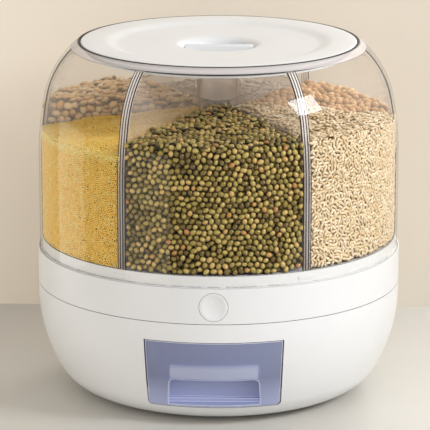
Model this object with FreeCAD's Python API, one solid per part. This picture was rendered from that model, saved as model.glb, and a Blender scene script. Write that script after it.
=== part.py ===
import FreeCAD, Part
import math
import os
from FreeCAD import Vector

os.makedirs("parts", exist_ok=True)

# A rotating grain container: a clear drum of six compartments on a round white base.
# Millimetres. Z is up, the front with the button and the drawer faces -Y, and z = 0 is the table.

# Clearances
RUN_GAP = 0.5            # between the turning drum and the base
SEAT_GAP = 0.3           # between a piece and the seat that holds it
SLIDE_GAP = 0.4          # above and below the shutter
BEARING_GAP = 0.2        # between a roller and each of its tracks
SPINDLE_FIT = 0.1        # running clearance round the spindle, on the radius
SCREW_FIT = 0.05         # between a screw and its pilot hole, on the radius

# Base casing
BASE_R = 160.0
BASE_WALL = 2.6
BASE_FLAT_INSET = 52.0   # from the side in to the flat underside
FOOT_H = 2.0             # the casing's height above the table
BOWL_TOP_Z = 90.0        # where the bowl's curve runs into the upright wall
BOWL_LOW_R = 39.0        # tighter arc next to the underside
SEAM_Z = 97.5
SEAM_GAP = 0.5
TONGUE_WALL = 1.2        # the lower casing's tongue behind the seam
TONGUE_H = 2.6
RIM_Z = 128.3            # top of the base's rim
LIP_WALL = 1.0
LIP_H = 1.1
LEDGE_WALL = 2.0
STEP_REACH = 17.0        # from the outlets out to the step up to the ledge
STEP_WALL = 2.0
DECK_DROP = 7.3          # deck's top below the rim's top
DECK_WALL = 2.4
DECK_RIB_H = 9.0
DECK_RIB_WALL = 2.0
FOOT_R = 9.0
FOOT_INSET = 7.0         # foot's edge from the edge of the flat underside
FOOT_RECESS = 0.8
POST_R = 6.0             # screw posts between the casings
POST_INSET = 7.0         # from the edge of the flat underside
POST_ANGLES = (30, 150, 210, 330)
POST_TOP_Z = 60.0
POST_WEB = 4.0

# Drawer opening in the front of the bowl, a little narrower at its foot
OPENING_TOP_HALF = 59.5
OPENING_LOW_HALF = 56.8
OPENING_TOP_Z = 81.4
OPENING_LOW_Z = 17.7
OPENING_CORNER_R = 4.0

# Drawer
FASCIA_WALL = 2.6
FASCIA_SIDE_GAP = 1.2
FASCIA_END_GAP = 0.6     # above and below the fascia
CUP_HALF = 50.0
CUP_DEPTH = 112.0        # from the casing's side in to the cup's back
CUP_TOP_Z = 76.0
CUP_WALL = 2.0
CUP_CORNER_R = 9.0
CUP_FOOT_BEVEL = 3.0
GRIP_TOP_HALF = 38.3
GRIP_LOW_HALF = 39.9
GRIP_TOP_Z = 46.0        # upper edge of the mouth in the fascia
GRIP_CORNER_R = 5.0
GRIP_DEPTH = 35.0
GRIP_ROOF_Z = 55.0       # the hollow behind the fascia
GRIP_ROOF_R = 6.0
GRIP_STEP_H = 3.4
GRIP_STEP_DEPTH = 4.0
DRAWER_TRAVEL = 100.0

# Drawer bay
BAY_SIDE_GAP = 0.8       # outside the opening's upper corners
BAY_WALL = 2.2
BAY_ROOF_GAP = 2.0       # above the opening
BAY_BACK_GAP = 1.8       # behind the cup
BAY_RAIL_X = 30.0
BAY_RAIL_WIDTH = 3.0
BAY_RAIL_H = 0.7
BAY_GUIDE_H = 12.0
BAY_TAB_GAP = 1.5        # between a tab and the screw post behind it
BAY_TAB_Z = 10.0
BAY_TAB_LENGTH = 14.0
BAY_TAB_WIDTH = 12.0
BAY_TAB_WALL = 2.4

# Outlets, one under each compartment
COMPARTMENTS = 6
OUTLET_INSET = 52.0      # from the casing's side in to the outlet's middle
OUTLET_WIDTH = 10.0      # radial
OUTLET_LENGTH = 40.0     # tangential

# Shutter, button and spring
GATE_LAND = 2.0          # overlap of the closed shutter
GATE_WALL = 2.0
GATE_HALF = 25.0
GATE_BACK_LAND = 3.0
GATE_TAB_WALL = 1.6
GATE_TAB_HALF = 11.0
GATE_TAB_DROP = 8.0
BUTTON_R = 12.15
BUTTON_DROP = 15.8       # button's axis below the rim's top
BUTTON_LENGTH = 15.4
BUTTON_WALL = 1.65
BUTTON_FACE = 3.0
BUTTON_DISH_R = 40.0
BUTTON_DISH_DEPTH = 1.5
SLEEVE_WALL = 1.9
SLEEVE_LENGTH = 12.4
SPRING_R = 3.5
SPRING_WIRE = 0.8
SPRING_TURNS = 5
SPRING_DROP = 6.3        # spring's axis below the button's axis
PEG_R = 2.3
PEG_LENGTH = 4.0

# Chute
CHUTE_WALL = 2.0
CHUTE_MARGIN = 1.5       # wider than the outlet
CHUTE_LOW_HALF = 26.0
CHUTE_LOW_DEPTH = 32.0
CHUTE_LOW_Z = 79.5
FLANGE_HALF = 33.0
FLANGE_WALL = 2.4
FLANGE_FRONT = 13.6      # from the outlet out to the flange's front edge
FLANGE_BACK = 15.0
RAIL_FRONT = 25.0

# Spindle and bearing
SPINDLE_R = 8.0
SPINDLE_FLANGE_R = 12.0
SPINDLE_FLANGE_H = 3.0
BOSS_R = 14.0            # deck's boss and tray's hub round the spindle
BOSS_TOP_RISE = 3.0      # boss above the deck
BOSS_DEPTH = 17.0        # boss below the deck's top
WASHER_R = 11.5
WASHER_H = 1.5
SPINDLE_SCREW_R = 2.0
SPINDLE_SCREW_DEPTH = 14.0
TRACK_R = 70.0
TRACK_WIDTH = 10.0
TRACK_H = 1.0
ROLLER_R = 2.6
ROLLER_LENGTH = 8.0
ROLLER_COUNT = 8
CAGE_WIDTH = 12.0
CAGE_WALL = 1.8

# Turntable floor
TRAY_FLANGE = 1.5
BAND_H = 10.6            # the white band, from the tray's underside to the rim's top
RIM_WALL = 3.5
TRAY_WALL = 2.4
PEAK_R = 22.0            # the floor's highest circle, beside the hub
PEAK_RISE = 37.3         # above the tray's underside
RIDGE_HALF = 4.0         # half the ridge between two hoppers
HOPPER_REACH_RATIO = 1.05  # length of the hopper's walls, 1 up to the floor's cone
HOPPER_STEPS = 4         # facets of the hopper's outer wall, an even count
TRACK_RING_WIDTH = 7.0
SPOUT_WALL = 2.0
SPIGOT_WALL = 4.4
SPIGOT_H = 11.0
SHOULDER_DROP = 3.0      # seat of the washer, below the peak
SEAL_H = 1.2
LUG_HALF_ANGLE = 3.0
LUG_RISE = 4.3           # above the tray's underside
LUG_H = 2.5
LUG_PROUD = 0.9

# Drum shell: upright side, a long arc and a shoulder that ends at the neck
DRUM_WALL = 2.0
DRUM_H = 180.6
STRAIGHT_H = 80.7
SIDE_R = 267.0
SIDE_TURN = 11.3
NECK_RIM = 2.3           # width of the neck's rim round the lid
NECK_H = 6.3             # height of the thick neck ring
NECK_LEDGE = 5.2         # width of the ledge under the lid's edge
RIB_WALL = 1.9           # guide ribs, one each side of every fin
RIB_DEPTH = 3.0

# Divider insert
FIN_WALL = 2.4
FIN_TOP_DROP = 11.8      # below the neck's rim
SCOOP_R = 23.0
HUB_R = 19.0
HUB_WALL = 2.0
HUB_TOP_DROP = 29.8      # below the neck's rim
SCOOP_LOW_DROP = 48.8

# Hub plug
PLUG_DEPTH = 22.0
PLUG_WALL = 1.3
PLUG_FLANGE = 1.4
PLUG_BEVEL = 1.6

# Lid
LID_INSET = 37.4         # lid's edge from the drum's side
LID_GAP = 0.6            # round the lid in the neck
LID_PROUD = 0.8          # above the neck's rim
LID_EDGE_H = 2.8
LID_WALL = 2.4
LID_BEVEL = 1.3
LID_RAISED_WIDTH = 20.1  # raised outer ring
LID_SLOPE = 15.0         # from the ring in to the dished middle
LID_DISH = 3.0
WELL_LIP_R = 40.0
WELL_R = 30.0
WELL_DEPTH = 18.6
WELL_BEVEL = 5.0         # round the well's floor
WELL_LIP_DROP = 9.0      # height of the sloping lip
GRIP_FIN_WALL = 5.2
GRIP_FIN_SINK = 1.0
GRIP_FIN_ROUND = 2.0
SKIRT_WALL = 2.4
SKIRT_GAP = 2.3          # between the skirt and the neck's bore
SKIRT_H = 8.4
LID_SEAL_H = 2.6
LID_SEAL_SEAT = 1.6
LID_SEAL_DROP = 4.0

# Screws
SCREW_HEAD_H = 2.4
BASE_SCREW_R = 1.8
BASE_SCREW_HEAD_R = 3.6
BASE_SCREW_GRIP = 14.0
BAY_SCREW_R = 1.35
BAY_SCREW_HEAD_R = 3.0
CHUTE_SCREW_R = 1.4
CHUTE_SCREW_HEAD_R = 2.6
CHUTE_SCREW_HEAD_H = 1.8
CHUTE_SCREW_BITE = 1.7
CHUTE_SCREW_FRONT = 4.6  # from the flange's front edge
CHUTE_SCREW_BACK = 7.8
GATE_SCREW_R = 0.95
GATE_SCREW_HEAD_R = 2.0
GATE_SCREW_HEAD_H = 1.5
GATE_SCREW_X = 7.0
GATE_SCREW_RISE = 0.7    # above the button's axis
GATE_SCREW_LENGTH = 9.5
GATE_BOSS_R = 2.6

# Heights that follow
FLOOR_Z = FOOT_H
FLOOR_TOP_Z = FLOOR_Z + BASE_WALL
LEDGE_TOP_Z = RIM_Z - LIP_H
LEDGE_LOW_Z = LEDGE_TOP_Z - LEDGE_WALL
DECK_TOP_Z = RIM_Z - DECK_DROP
DECK_LOW_Z = DECK_TOP_Z - DECK_WALL
GATE_TOP_Z = DECK_LOW_Z - SLIDE_GAP
GATE_LOW_Z = GATE_TOP_Z - GATE_WALL
FLANGE_TOP_Z = GATE_LOW_Z - SLIDE_GAP
FLANGE_LOW_Z = FLANGE_TOP_Z - FLANGE_WALL
BUTTON_Z = RIM_Z - BUTTON_DROP
SPRING_Z = BUTTON_Z - SPRING_DROP
GATE_SCREW_Z = BUTTON_Z + GATE_SCREW_RISE
BOSS_TOP_Z = DECK_TOP_Z + BOSS_TOP_RISE
BOSS_LOW_Z = DECK_TOP_Z - BOSS_DEPTH
TRACK_TOP_Z = DECK_TOP_Z + TRACK_H
ROLLER_Z = TRACK_TOP_Z + BEARING_GAP + ROLLER_R
TRACK_RING_Z = ROLLER_Z + ROLLER_R + BEARING_GAP
TRAY_Z = LEDGE_TOP_Z + RUN_GAP
SKIRT_Z = TRAY_Z + TRAY_FLANGE
BAND_TOP_Z = TRAY_Z + BAND_H
PEAK_Z = TRAY_Z + PEAK_RISE
SEAL_Z = DECK_TOP_Z + SEAT_GAP
OUTLET_Z = SEAL_Z + SEAL_H
HOPPER_LOW_Z = OUTLET_Z + TRAY_WALL
WASHER_SEAT_Z = PEAK_Z - SHOULDER_DROP
SPINDLE_TOP_Z = WASHER_SEAT_Z + SEAT_GAP
STRAIGHT_TOP_Z = SKIRT_Z + STRAIGHT_H
NECK_TOP_Z = SKIRT_Z + DRUM_H
NECK_LOW_Z = NECK_TOP_Z - NECK_H
LID_TOP_Z = NECK_TOP_Z + LID_PROUD
LID_EDGE_Z = LID_TOP_Z - LID_EDGE_H
LID_SEAT_Z = LID_EDGE_Z - SEAT_GAP
FIN_TOP_Z = NECK_TOP_Z - FIN_TOP_DROP
HUB_TOP_Z = NECK_TOP_Z - HUB_TOP_DROP
SCOOP_LOW_Z = NECK_TOP_Z - SCOOP_LOW_DROP

# Places that follow
BASE_FLAT_R = BASE_R - BASE_FLAT_INSET
FOOT_RING_R = BASE_FLAT_R - FOOT_INSET - FOOT_R
POST_RING_R = BASE_FLAT_R - POST_INSET
OUTLET_R = BASE_R - OUTLET_INSET
OUTLET_IN_R = OUTLET_R - OUTLET_WIDTH / 2
OUTLET_OUT_R = OUTLET_R + OUTLET_WIDTH / 2
STEP_R = OUTLET_OUT_R + STEP_REACH
DRUM_R = BASE_R - LIP_WALL - RUN_GAP
LID_R = DRUM_R - LID_INSET
LID_RAISED_R = LID_R - LID_RAISED_WIDTH
LID_DISHED_R = LID_RAISED_R - LID_SLOPE
NECK_BORE_R = LID_R + LID_GAP - NECK_LEDGE
GATE_TRAVEL = OUTLET_WIDTH + GATE_LAND
SKIRT_INNER_R = DRUM_R - DRUM_WALL
RIM_OUT_R = SKIRT_INNER_R - SEAT_GAP
RIM_IN_R = RIM_OUT_R - RIM_WALL
NECK_R = LID_R + LID_GAP + NECK_RIM
BAY_HALF = OPENING_TOP_HALF + BAY_SIDE_GAP
POST_SIDE = POST_RING_R * math.sin(math.radians(POST_ANGLES[0]))
BAY_TAB_Y = -(POST_SIDE + POST_R + BAY_TAB_WIDTH / 2 + BAY_TAB_GAP)
CUP_BACK_Y = -(BASE_R - CUP_DEPTH)
GRIP_BACK_Y = -(BASE_R - GRIP_DEPTH)
CUP_LOW_Z = OPENING_LOW_Z + RUN_GAP
BUTTON_BACK_Y = -(BASE_R - BUTTON_LENGTH)
BUTTON_INNER_Y = -(BASE_R - BUTTON_FACE)
SLEEVE_R = BUTTON_R + SEAT_GAP + SLEEVE_WALL
GATE_TAB_BACK_Y = BUTTON_BACK_Y + GATE_TAB_WALL
CHUTE_FRONT_Y = -(OUTLET_OUT_R + CHUTE_MARGIN)
FLANGE_FRONT_Y = -(OUTLET_OUT_R + FLANGE_FRONT)
FLANGE_BACK_Y = -(OUTLET_IN_R - FLANGE_BACK)
RAIL_FRONT_Y = -(OUTLET_OUT_R + RAIL_FRONT)
SPRING_SEAT_Y = CHUTE_FRONT_Y - CHUTE_WALL
SECTOR = 360.0 / COMPARTMENTS
FRONT = -90.0
UP = Vector(0, 0, 1)
ORIGIN = Vector(0, 0, 0)
BOWL_STEPS = 4           # straight steps for each arc of the bowl, on hidden faces
CLEAR = 1.0              # how far a cutter runs past what it cuts
FAR = 200.0              # well outside the container


def at(r, z):
    """Point in the plane through the axis, r outwards and z up."""
    return Vector(r, 0, z)


def path(*points):
    """Straight edges through (r, z) points."""
    ends = [at(r, z) for r, z in points]
    return [Part.LineSegment(a, b).toShape() for a, b in zip(ends, ends[1:])]


def arc(centre, radius, start, end):
    """Circular edge round a centre, between two angles in degrees from the outward direction."""
    angles = [math.radians(a) for a in (start, (start + end) / 2, end)]
    points = [centre + at(radius * math.cos(a), radius * math.sin(a)) for a in angles]
    return Part.Arc(*points).toShape()


def outline(*corners):
    """Closed run of edges through corners (r, z) or (r, z, fillet radius)."""
    count = len(corners)
    points = [at(c[0], c[1]) for c in corners]
    starts, ends, arcs = [], [], []
    for i, corner in enumerate(corners):
        here = points[i]
        fillet = corner[2] if len(corner) > 2 else 0
        if not fillet:
            starts.append(here)
            ends.append(here)
            arcs.append(None)
            continue
        back = (points[i - 1] - here).normalize()
        ahead = (points[(i + 1) % count] - here).normalize()
        half = back.getAngle(ahead) / 2
        run = fillet / math.tan(half)
        middle = (back + ahead).normalize() * (fillet / math.sin(half) - fillet)
        starts.append(here + back * run)
        ends.append(here + ahead * run)
        arcs.append(Part.Arc(starts[-1], here + middle, ends[-1]).toShape())
    edges = []
    for i in range(count):
        if arcs[i]:
            edges.append(arcs[i])
        edges.append(Part.LineSegment(ends[i], starts[(i + 1) % count]).toShape())
    return edges


def flat(edges):
    """Face bounded by a closed run of edges."""
    return Part.Face(Part.Wire(Part.sortEdges(edges)[0]))


def sound(shape):
    """The shape with its faces pointing outwards."""
    if shape.Volume < 0:
        shape.reverse()
    return shape


def flat_sided(polygons):
    """Solid bounded by flat polygons that meet edge to edge."""
    shell = Part.Shell([Part.Face(Part.makePolygon(corners + corners[:1])) for corners in polygons])
    shell.sewShape()
    return sound(Part.Solid(shell))


def lathe(edges, angle=360.0):
    """Solid made by turning a closed outline about the axis."""
    return sound(flat(edges).revolve(ORIGIN, UP, angle))


def plate(edges, wall, offset=0.0):
    """Upright plate of an (r, z) outline, its middle plane offset sideways from the axis."""
    solid = sound(flat(edges).extrude(Vector(0, wall, 0)))
    solid.translate(Vector(0, offset - wall / 2, 0))
    return solid


def rod(r, z_low, z_high, x=0.0, y=0.0):
    return Part.makeCylinder(r, z_high - z_low, Vector(x, y, z_low), UP)


def ring(r_in, r_out, z_low, z_high, x=0.0, y=0.0):
    return rod(r_out, z_low, z_high, x, y).cut(rod(r_in, z_low - CLEAR, z_high + CLEAR, x, y))


def pin(r, y_front, y_back, x, z):
    """Cylinder along Y."""
    return Part.makeCylinder(r, y_back - y_front, Vector(x, y_front, z), Vector(0, 1, 0))


def block(x, y, z):
    """Box given by its (low, high) pairs."""
    size = [high - low for low, high in (x, y, z)]
    return Part.makeBox(*size, Vector(x[0], y[0], z[0]))


def centred(half, y, z):
    return block((-half, half), y, z)


def polar(r, degrees):
    a = math.radians(degrees)
    return r * math.cos(a), r * math.sin(a)


def turned(shape, degrees):
    copy = shape.copy()
    copy.rotate(ORIGIN, UP, degrees)
    return copy


def around(shape, count=COMPARTMENTS, first=0.0):
    """Copies of a shape, evenly round the axis."""
    return [turned(shape, first + i * 360.0 / count) for i in range(count)]


def mirrored(shape):
    return shape.mirror(ORIGIN, Vector(1, 0, 0))


def fused(first, *others):
    return first.fuse(list(others)).removeSplitter()


def save(node, *solids):
    """Write one node, as a single solid or as a group of separate solids."""
    shape = solids[0] if len(solids) == 1 else Part.makeCompound(list(solids))
    shape.exportStep("parts/" + node + ".step")


def bowl_arcs():
    """Two arcs, tangent to each other, to the underside and to the upright wall."""
    width, height = BASE_R - BASE_FLAT_R, BOWL_TOP_Z - FLOOR_Z
    side_r = (width ** 2 + height ** 2 - 2 * height * BOWL_LOW_R) / (2 * (width - BOWL_LOW_R))
    low_centre = at(BASE_FLAT_R, FLOOR_Z + BOWL_LOW_R)
    side_centre = at(BASE_R - side_r, BOWL_TOP_Z)
    reach = low_centre - side_centre
    turn = math.degrees(math.atan2(reach.z, reach.x))
    return (low_centre, BOWL_LOW_R, -90, turn), (side_centre, side_r, turn, 0)


def bowl_curve(inset):
    """The bowl's curve from the underside up to the upright wall, moved inwards by inset."""
    return [arc(centre, radius - inset, start, end) for centre, radius, start, end in bowl_arcs()]


def bowl_chords(inset):
    """The same curve in straight steps, for the faces that stay hidden."""
    points = []
    for centre, radius, start, end in bowl_arcs():
        for step in range(BOWL_STEPS):
            angle = math.radians(start + (end - start) * step / BOWL_STEPS)
            point = centre + at(math.cos(angle), math.sin(angle)) * (radius - inset)
            points.append((point.x, point.z))
    return path(*points, (BASE_R - inset, BOWL_TOP_Z))


def bowl_body(curve, inset, z_top):
    """Everything within one of these curves."""
    low, side = FLOOR_Z + inset, BASE_R - inset
    foot = path((0, z_top), (0, low), (BASE_FLAT_R, low))
    return lathe(foot + curve(inset) + path((side, BOWL_TOP_Z), (side, z_top), (0, z_top)))


def shoulder():
    """Centre and radius of the shoulder arc, tangent to the side's arc and ending at the neck."""
    turn = math.radians(SIDE_TURN)
    out = at(math.cos(turn), math.sin(turn))
    start = SIDE_CENTRE + out * SIDE_R
    reach = at(NECK_R, NECK_TOP_Z) - start
    radius = -reach.dot(reach) / (2 * out.dot(reach))
    return start - out * radius, radius


SIDE_CENTRE = at(DRUM_R - SIDE_R, STRAIGHT_TOP_Z)
SHOULDER_CENTRE, SHOULDER_R = shoulder()


def bell_curve(inset, z_low, z_high):
    """The drum's outer face, moved inwards by inset, from the skirt up to a height on the shoulder."""
    side = DRUM_R - inset
    end = math.degrees(math.asin((z_high - SHOULDER_CENTRE.z) / (SHOULDER_R - inset)))
    upright = path((side, z_low), (side, STRAIGHT_TOP_Z))
    long_arc = arc(SIDE_CENTRE, SIDE_R - inset, 0, SIDE_TURN)
    return upright + [long_arc, arc(SHOULDER_CENTRE, SHOULDER_R - inset, SIDE_TURN, end)]


def bell_r(inset, z):
    """Radius of that face at a height on the shoulder."""
    radius = SHOULDER_R - inset
    return SHOULDER_CENTRE.x + math.sqrt(radius ** 2 - (z - SHOULDER_CENTRE.z) ** 2)


def cone_z(r):
    """Height of the tray's ridges at a radius."""
    share = (r - PEAK_R) / (RIM_IN_R - PEAK_R)
    return PEAK_Z + share * (BAND_TOP_Z - PEAK_Z)


def front_prism(top_half, low_half, z_top, z_low, y, fillet, round_top):
    """Prism along Y whose outline is a trapezium, with its upper or lower corners rounded."""
    upper = fillet if round_top else 0
    lower = 0 if round_top else fillet
    corners = ((-top_half, z_top, upper), (top_half, z_top, upper), (low_half, z_low, lower))
    face = flat(outline(*corners, (-low_half, z_low, lower)))
    prism = sound(face.extrude(Vector(0, y[1] - y[0], 0)))
    prism.translate(Vector(0, y[0], 0))
    return prism


def screw(r, length, head_r, head_h, x, y, z):
    """Screw pointing up, with its head below z."""
    return fused(rod(head_r, z - head_h, z, x, y), rod(r, z - head_h / 2, z + length, x, y))


def opening(gap_side, gap_end, y):
    return front_prism(
        OPENING_TOP_HALF - gap_side,
        OPENING_LOW_HALF - gap_side,
        OPENING_TOP_Z - gap_end,
        OPENING_LOW_Z + gap_end,
        y,
        OPENING_CORNER_R,
        False,
    )


def post_places():
    return [polar(POST_RING_R, a) for a in POST_ANGLES]


def foot_places():
    return [polar(FOOT_RING_R, a) for a in (45, 135, 225, 315)]


def bay_screw_places():
    x = BAY_HALF + BAY_WALL + BAY_TAB_LENGTH / 2
    return [(side * x, BAY_TAB_Y) for side in (-1, 1)]


def chute_screw_places():
    x = (GATE_HALF + SEAT_GAP + FLANGE_HALF) / 2
    rows = (FLANGE_FRONT_Y + CHUTE_SCREW_FRONT, FLANGE_BACK_Y - CHUTE_SCREW_BACK)
    return [(side * x, y) for side in (-1, 1) for y in rows]


def base_screws():
    seat = POST_TOP_Z - POST_WEB
    return [screw(BASE_SCREW_R, POST_WEB + BASE_SCREW_GRIP, BASE_SCREW_HEAD_R, SCREW_HEAD_H, x, y, seat)
            for x, y in post_places()]


def chute_screws():
    length = DECK_LOW_Z - FLANGE_LOW_Z + CHUTE_SCREW_BITE
    return [screw(CHUTE_SCREW_R, length, CHUTE_SCREW_HEAD_R, CHUTE_SCREW_HEAD_H, x, y, FLANGE_LOW_Z)
            for x, y in chute_screw_places()]


def bay_screws():
    """Screws pointing down through the bay's tabs."""
    seat = BAY_TAB_Z + BAY_TAB_WALL
    solids = []
    for x, y in bay_screw_places():
        head = rod(BAY_SCREW_HEAD_R, seat, seat + SCREW_HEAD_H, x, y)
        solids.append(fused(head, rod(BAY_SCREW_R, FLOOR_TOP_Z + CLEAR, seat + CLEAR, x, y)))
    return solids


def lower_shell():
    seam = SEAM_Z - SEAM_GAP / 2
    tongue_out = BASE_R - BASE_WALL + TONGUE_WALL
    top = seam + TONGUE_H
    inner = BASE_R - BASE_WALL
    outside = path((0, FLOOR_Z), (BASE_FLAT_R, FLOOR_Z)) + bowl_curve(0)
    rim = path((BASE_R, BOWL_TOP_Z), (BASE_R, seam), (tongue_out, seam), (tongue_out, top),
               (inner, top), (inner, BOWL_TOP_Z))
    inside = bowl_chords(BASE_WALL)
    floor = path((BASE_FLAT_R, FLOOR_TOP_Z), (0, FLOOR_TOP_Z), (0, FLOOR_Z))
    shell = lathe(outside + rim + inside + floor)
    posts = [rod(POST_R, FLOOR_Z + CLEAR, POST_TOP_Z, x, y) for x, y in post_places()]
    bosses = [rod(BAY_SCREW_HEAD_R + CLEAR, FLOOR_Z + CLEAR, BAY_TAB_Z, x, y)
              for x, y in bay_screw_places()]
    shell = fused(shell, *posts, *bosses)
    cuts = [opening(0, 0, (-FAR, CUP_BACK_Y))]
    cuts.append(centred(SLEEVE_R + SEAT_GAP, (-FAR, 0), (seam, top + CLEAR)))
    for x, y in post_places():
        web = POST_TOP_Z - POST_WEB
        cuts.append(rod(BASE_SCREW_HEAD_R + 2 * SEAT_GAP, FLOOR_Z - CLEAR, web, x, y))
        cuts.append(rod(BASE_SCREW_R + SEAT_GAP, web - CLEAR, POST_TOP_Z + CLEAR, x, y))
    for x, y in foot_places():
        cuts.append(rod(FOOT_R + SEAT_GAP, FLOOR_Z - CLEAR, FLOOR_Z + FOOT_RECESS, x, y))
    for x, y in bay_screw_places():
        cuts.append(rod(BAY_SCREW_R + SCREW_FIT, FLOOR_TOP_Z, BAY_TAB_Z + CLEAR, x, y))
    return shell.cut(cuts)


def upper_ring():
    seam = SEAM_Z + SEAM_GAP / 2
    rabbet_r = BASE_R - BASE_WALL + TONGUE_WALL + SEAT_GAP / 2
    rabbet_z = SEAM_Z - SEAM_GAP / 2 + TONGUE_H + SEAT_GAP
    inner = BASE_R - BASE_WALL
    lip_r = BASE_R - LIP_WALL
    body = lathe(path(
        (BASE_R, seam), (BASE_R, RIM_Z), (lip_r, RIM_Z), (lip_r, LEDGE_TOP_Z),
        (STEP_R, LEDGE_TOP_Z), (STEP_R, DECK_TOP_Z),
        (TRACK_R + TRACK_WIDTH / 2, DECK_TOP_Z), (TRACK_R + TRACK_WIDTH / 2, TRACK_TOP_Z),
        (TRACK_R - TRACK_WIDTH / 2, TRACK_TOP_Z), (TRACK_R - TRACK_WIDTH / 2, DECK_TOP_Z),
        (BOSS_R, DECK_TOP_Z), (BOSS_R, BOSS_TOP_Z),
        (SPINDLE_R, BOSS_TOP_Z), (SPINDLE_R, BOSS_LOW_Z), (BOSS_R, BOSS_LOW_Z), (BOSS_R, DECK_LOW_Z),
        (STEP_R + STEP_WALL, DECK_LOW_Z), (STEP_R + STEP_WALL, LEDGE_LOW_Z), (inner, LEDGE_LOW_Z),
        (inner, rabbet_z), (rabbet_r, rabbet_z), (rabbet_r, seam), (BASE_R, seam)))
    rib = block((BOSS_R - CLEAR, STEP_R), (-DECK_RIB_WALL / 2, DECK_RIB_WALL / 2),
                (DECK_LOW_Z - DECK_RIB_H, DECK_LOW_Z + CLEAR))
    bosses = [rod(POST_R - CLEAR, POST_TOP_Z, DECK_LOW_Z + CLEAR, x, y) for x, y in post_places()]
    sleeve_end = -(BASE_R - BASE_WALL) + SLEEVE_LENGTH
    sleeve = pin(SLEEVE_R, -BASE_R + CLEAR, sleeve_end, 0, BUTTON_Z)
    sleeve = sleeve.common(rod(BASE_R - CLEAR / 2, seam, LEDGE_TOP_Z - CLEAR / 2))
    body = fused(body, *around(rib), *bosses, sleeve)
    hole = centred(OUTLET_LENGTH / 2, (-OUTLET_OUT_R, -OUTLET_IN_R),
                   (DECK_LOW_Z - CLEAR, DECK_TOP_Z + CLEAR))
    cuts = [hole, pin(BUTTON_R + SEAT_GAP, -FAR, sleeve_end + CLEAR, 0, BUTTON_Z)]
    for x, y in post_places():
        depth = POST_TOP_Z + BASE_SCREW_GRIP + CLEAR
        cuts.append(rod(BASE_SCREW_R + SCREW_FIT, POST_TOP_Z - CLEAR, depth, x, y))
    for x, y in chute_screw_places():
        bite = DECK_LOW_Z + CHUTE_SCREW_BITE + SCREW_FIT
        cuts.append(rod(CHUTE_SCREW_R + SCREW_FIT, DECK_LOW_Z - CLEAR, bite, x, y))
    return body.cut(cuts)


def drawer_bay():
    """Housing with side walls, back, floor and roof, trimmed to the bowl's inner face."""
    back = CUP_BACK_Y + BAY_BACK_GAP
    outer = BAY_HALF + BAY_WALL
    floor_top = CUP_LOW_Z - SEAT_GAP - BAY_RAIL_H
    roof = OPENING_TOP_Z + BAY_ROOF_GAP
    body = centred(outer, (-FAR, back + BAY_WALL), (0, roof + BAY_WALL))
    room = centred(BAY_HALF, (-FAR, back), (floor_top, roof))
    under = centred(BAY_HALF, (-FAR, back), (-CLEAR, floor_top - BAY_WALL))
    mouth = centred(CHUTE_LOW_HALF + CHUTE_WALL + CLEAR,
                    (SPRING_SEAT_Y - CLEAR, CHUTE_FRONT_Y + CHUTE_LOW_DEPTH + CHUTE_WALL + CLEAR),
                    (roof - CLEAR, roof + BAY_WALL + CLEAR))
    body = body.cut([room, under, mouth])
    rail = block((BAY_RAIL_X, BAY_RAIL_X + BAY_RAIL_WIDTH), (-FAR, back),
                 (floor_top - CLEAR, floor_top + BAY_RAIL_H))
    guide = block((CUP_HALF + SLIDE_GAP, BAY_HALF + CLEAR), (GRIP_BACK_Y + OPENING_CORNER_R * 2, back),
                  (floor_top - CLEAR, floor_top + BAY_GUIDE_H))
    tab = block((BAY_HALF + CLEAR, outer + BAY_TAB_LENGTH),
                (BAY_TAB_Y - BAY_TAB_WIDTH / 2, BAY_TAB_Y + BAY_TAB_WIDTH / 2),
                (BAY_TAB_Z, BAY_TAB_Z + BAY_TAB_WALL))
    right = [rail, guide, tab]
    body = fused(body, *right, *[mirrored(piece) for piece in right])
    body = body.common(bowl_body(bowl_chords, BASE_WALL + SEAT_GAP, DECK_LOW_Z - CLEAR))
    holes = [rod(BAY_SCREW_R + SEAT_GAP, BAY_TAB_Z - CLEAR, BAY_TAB_Z + BAY_TAB_WALL + CLEAR, x, y)
             for x, y in bay_screw_places()]
    return body.cut(holes)


def funnel(inset):
    """Duct of the chute, wider at its foot, with an upright front wall."""
    front = CHUTE_FRONT_Y - inset

    def rectangle(half, y_back, z):
        return [Vector(x, y, z) for x, y in ((-half, front), (half, front), (half, y_back), (-half, y_back))]

    top = rectangle(OUTLET_LENGTH / 2 + CHUTE_MARGIN + inset, CHUTE_MARGIN - OUTLET_IN_R + inset, FLANGE_TOP_Z)
    low = rectangle(CHUTE_LOW_HALF + inset, CHUTE_FRONT_Y + CHUTE_LOW_DEPTH + inset, CHUTE_LOW_Z)
    sides = [[low[i - 1], low[i], top[i], top[i - 1]] for i in range(len(low))]
    return flat_sided([low, top] + sides)


def outlet_chute():
    flange = centred(FLANGE_HALF, (FLANGE_FRONT_Y, FLANGE_BACK_Y), (FLANGE_LOW_Z, FLANGE_TOP_Z))
    rail = block((GATE_HALF + SEAT_GAP, FLANGE_HALF), (RAIL_FRONT_Y, FLANGE_BACK_Y),
                 (FLANGE_LOW_Z, DECK_LOW_Z))
    peg = pin(PEG_R, SPRING_SEAT_Y - PEG_LENGTH, SPRING_SEAT_Y + CLEAR, 0, SPRING_Z)
    body = fused(flange, rail, mirrored(rail), funnel(CHUTE_WALL), peg)
    body = body.cut([funnel(0)])
    holes = [rod(CHUTE_SCREW_R + SEAT_GAP, FLANGE_LOW_Z - CLEAR, DECK_LOW_Z + CLEAR, x, y)
             for x, y in chute_screw_places()]
    return body.cut(holes)


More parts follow.
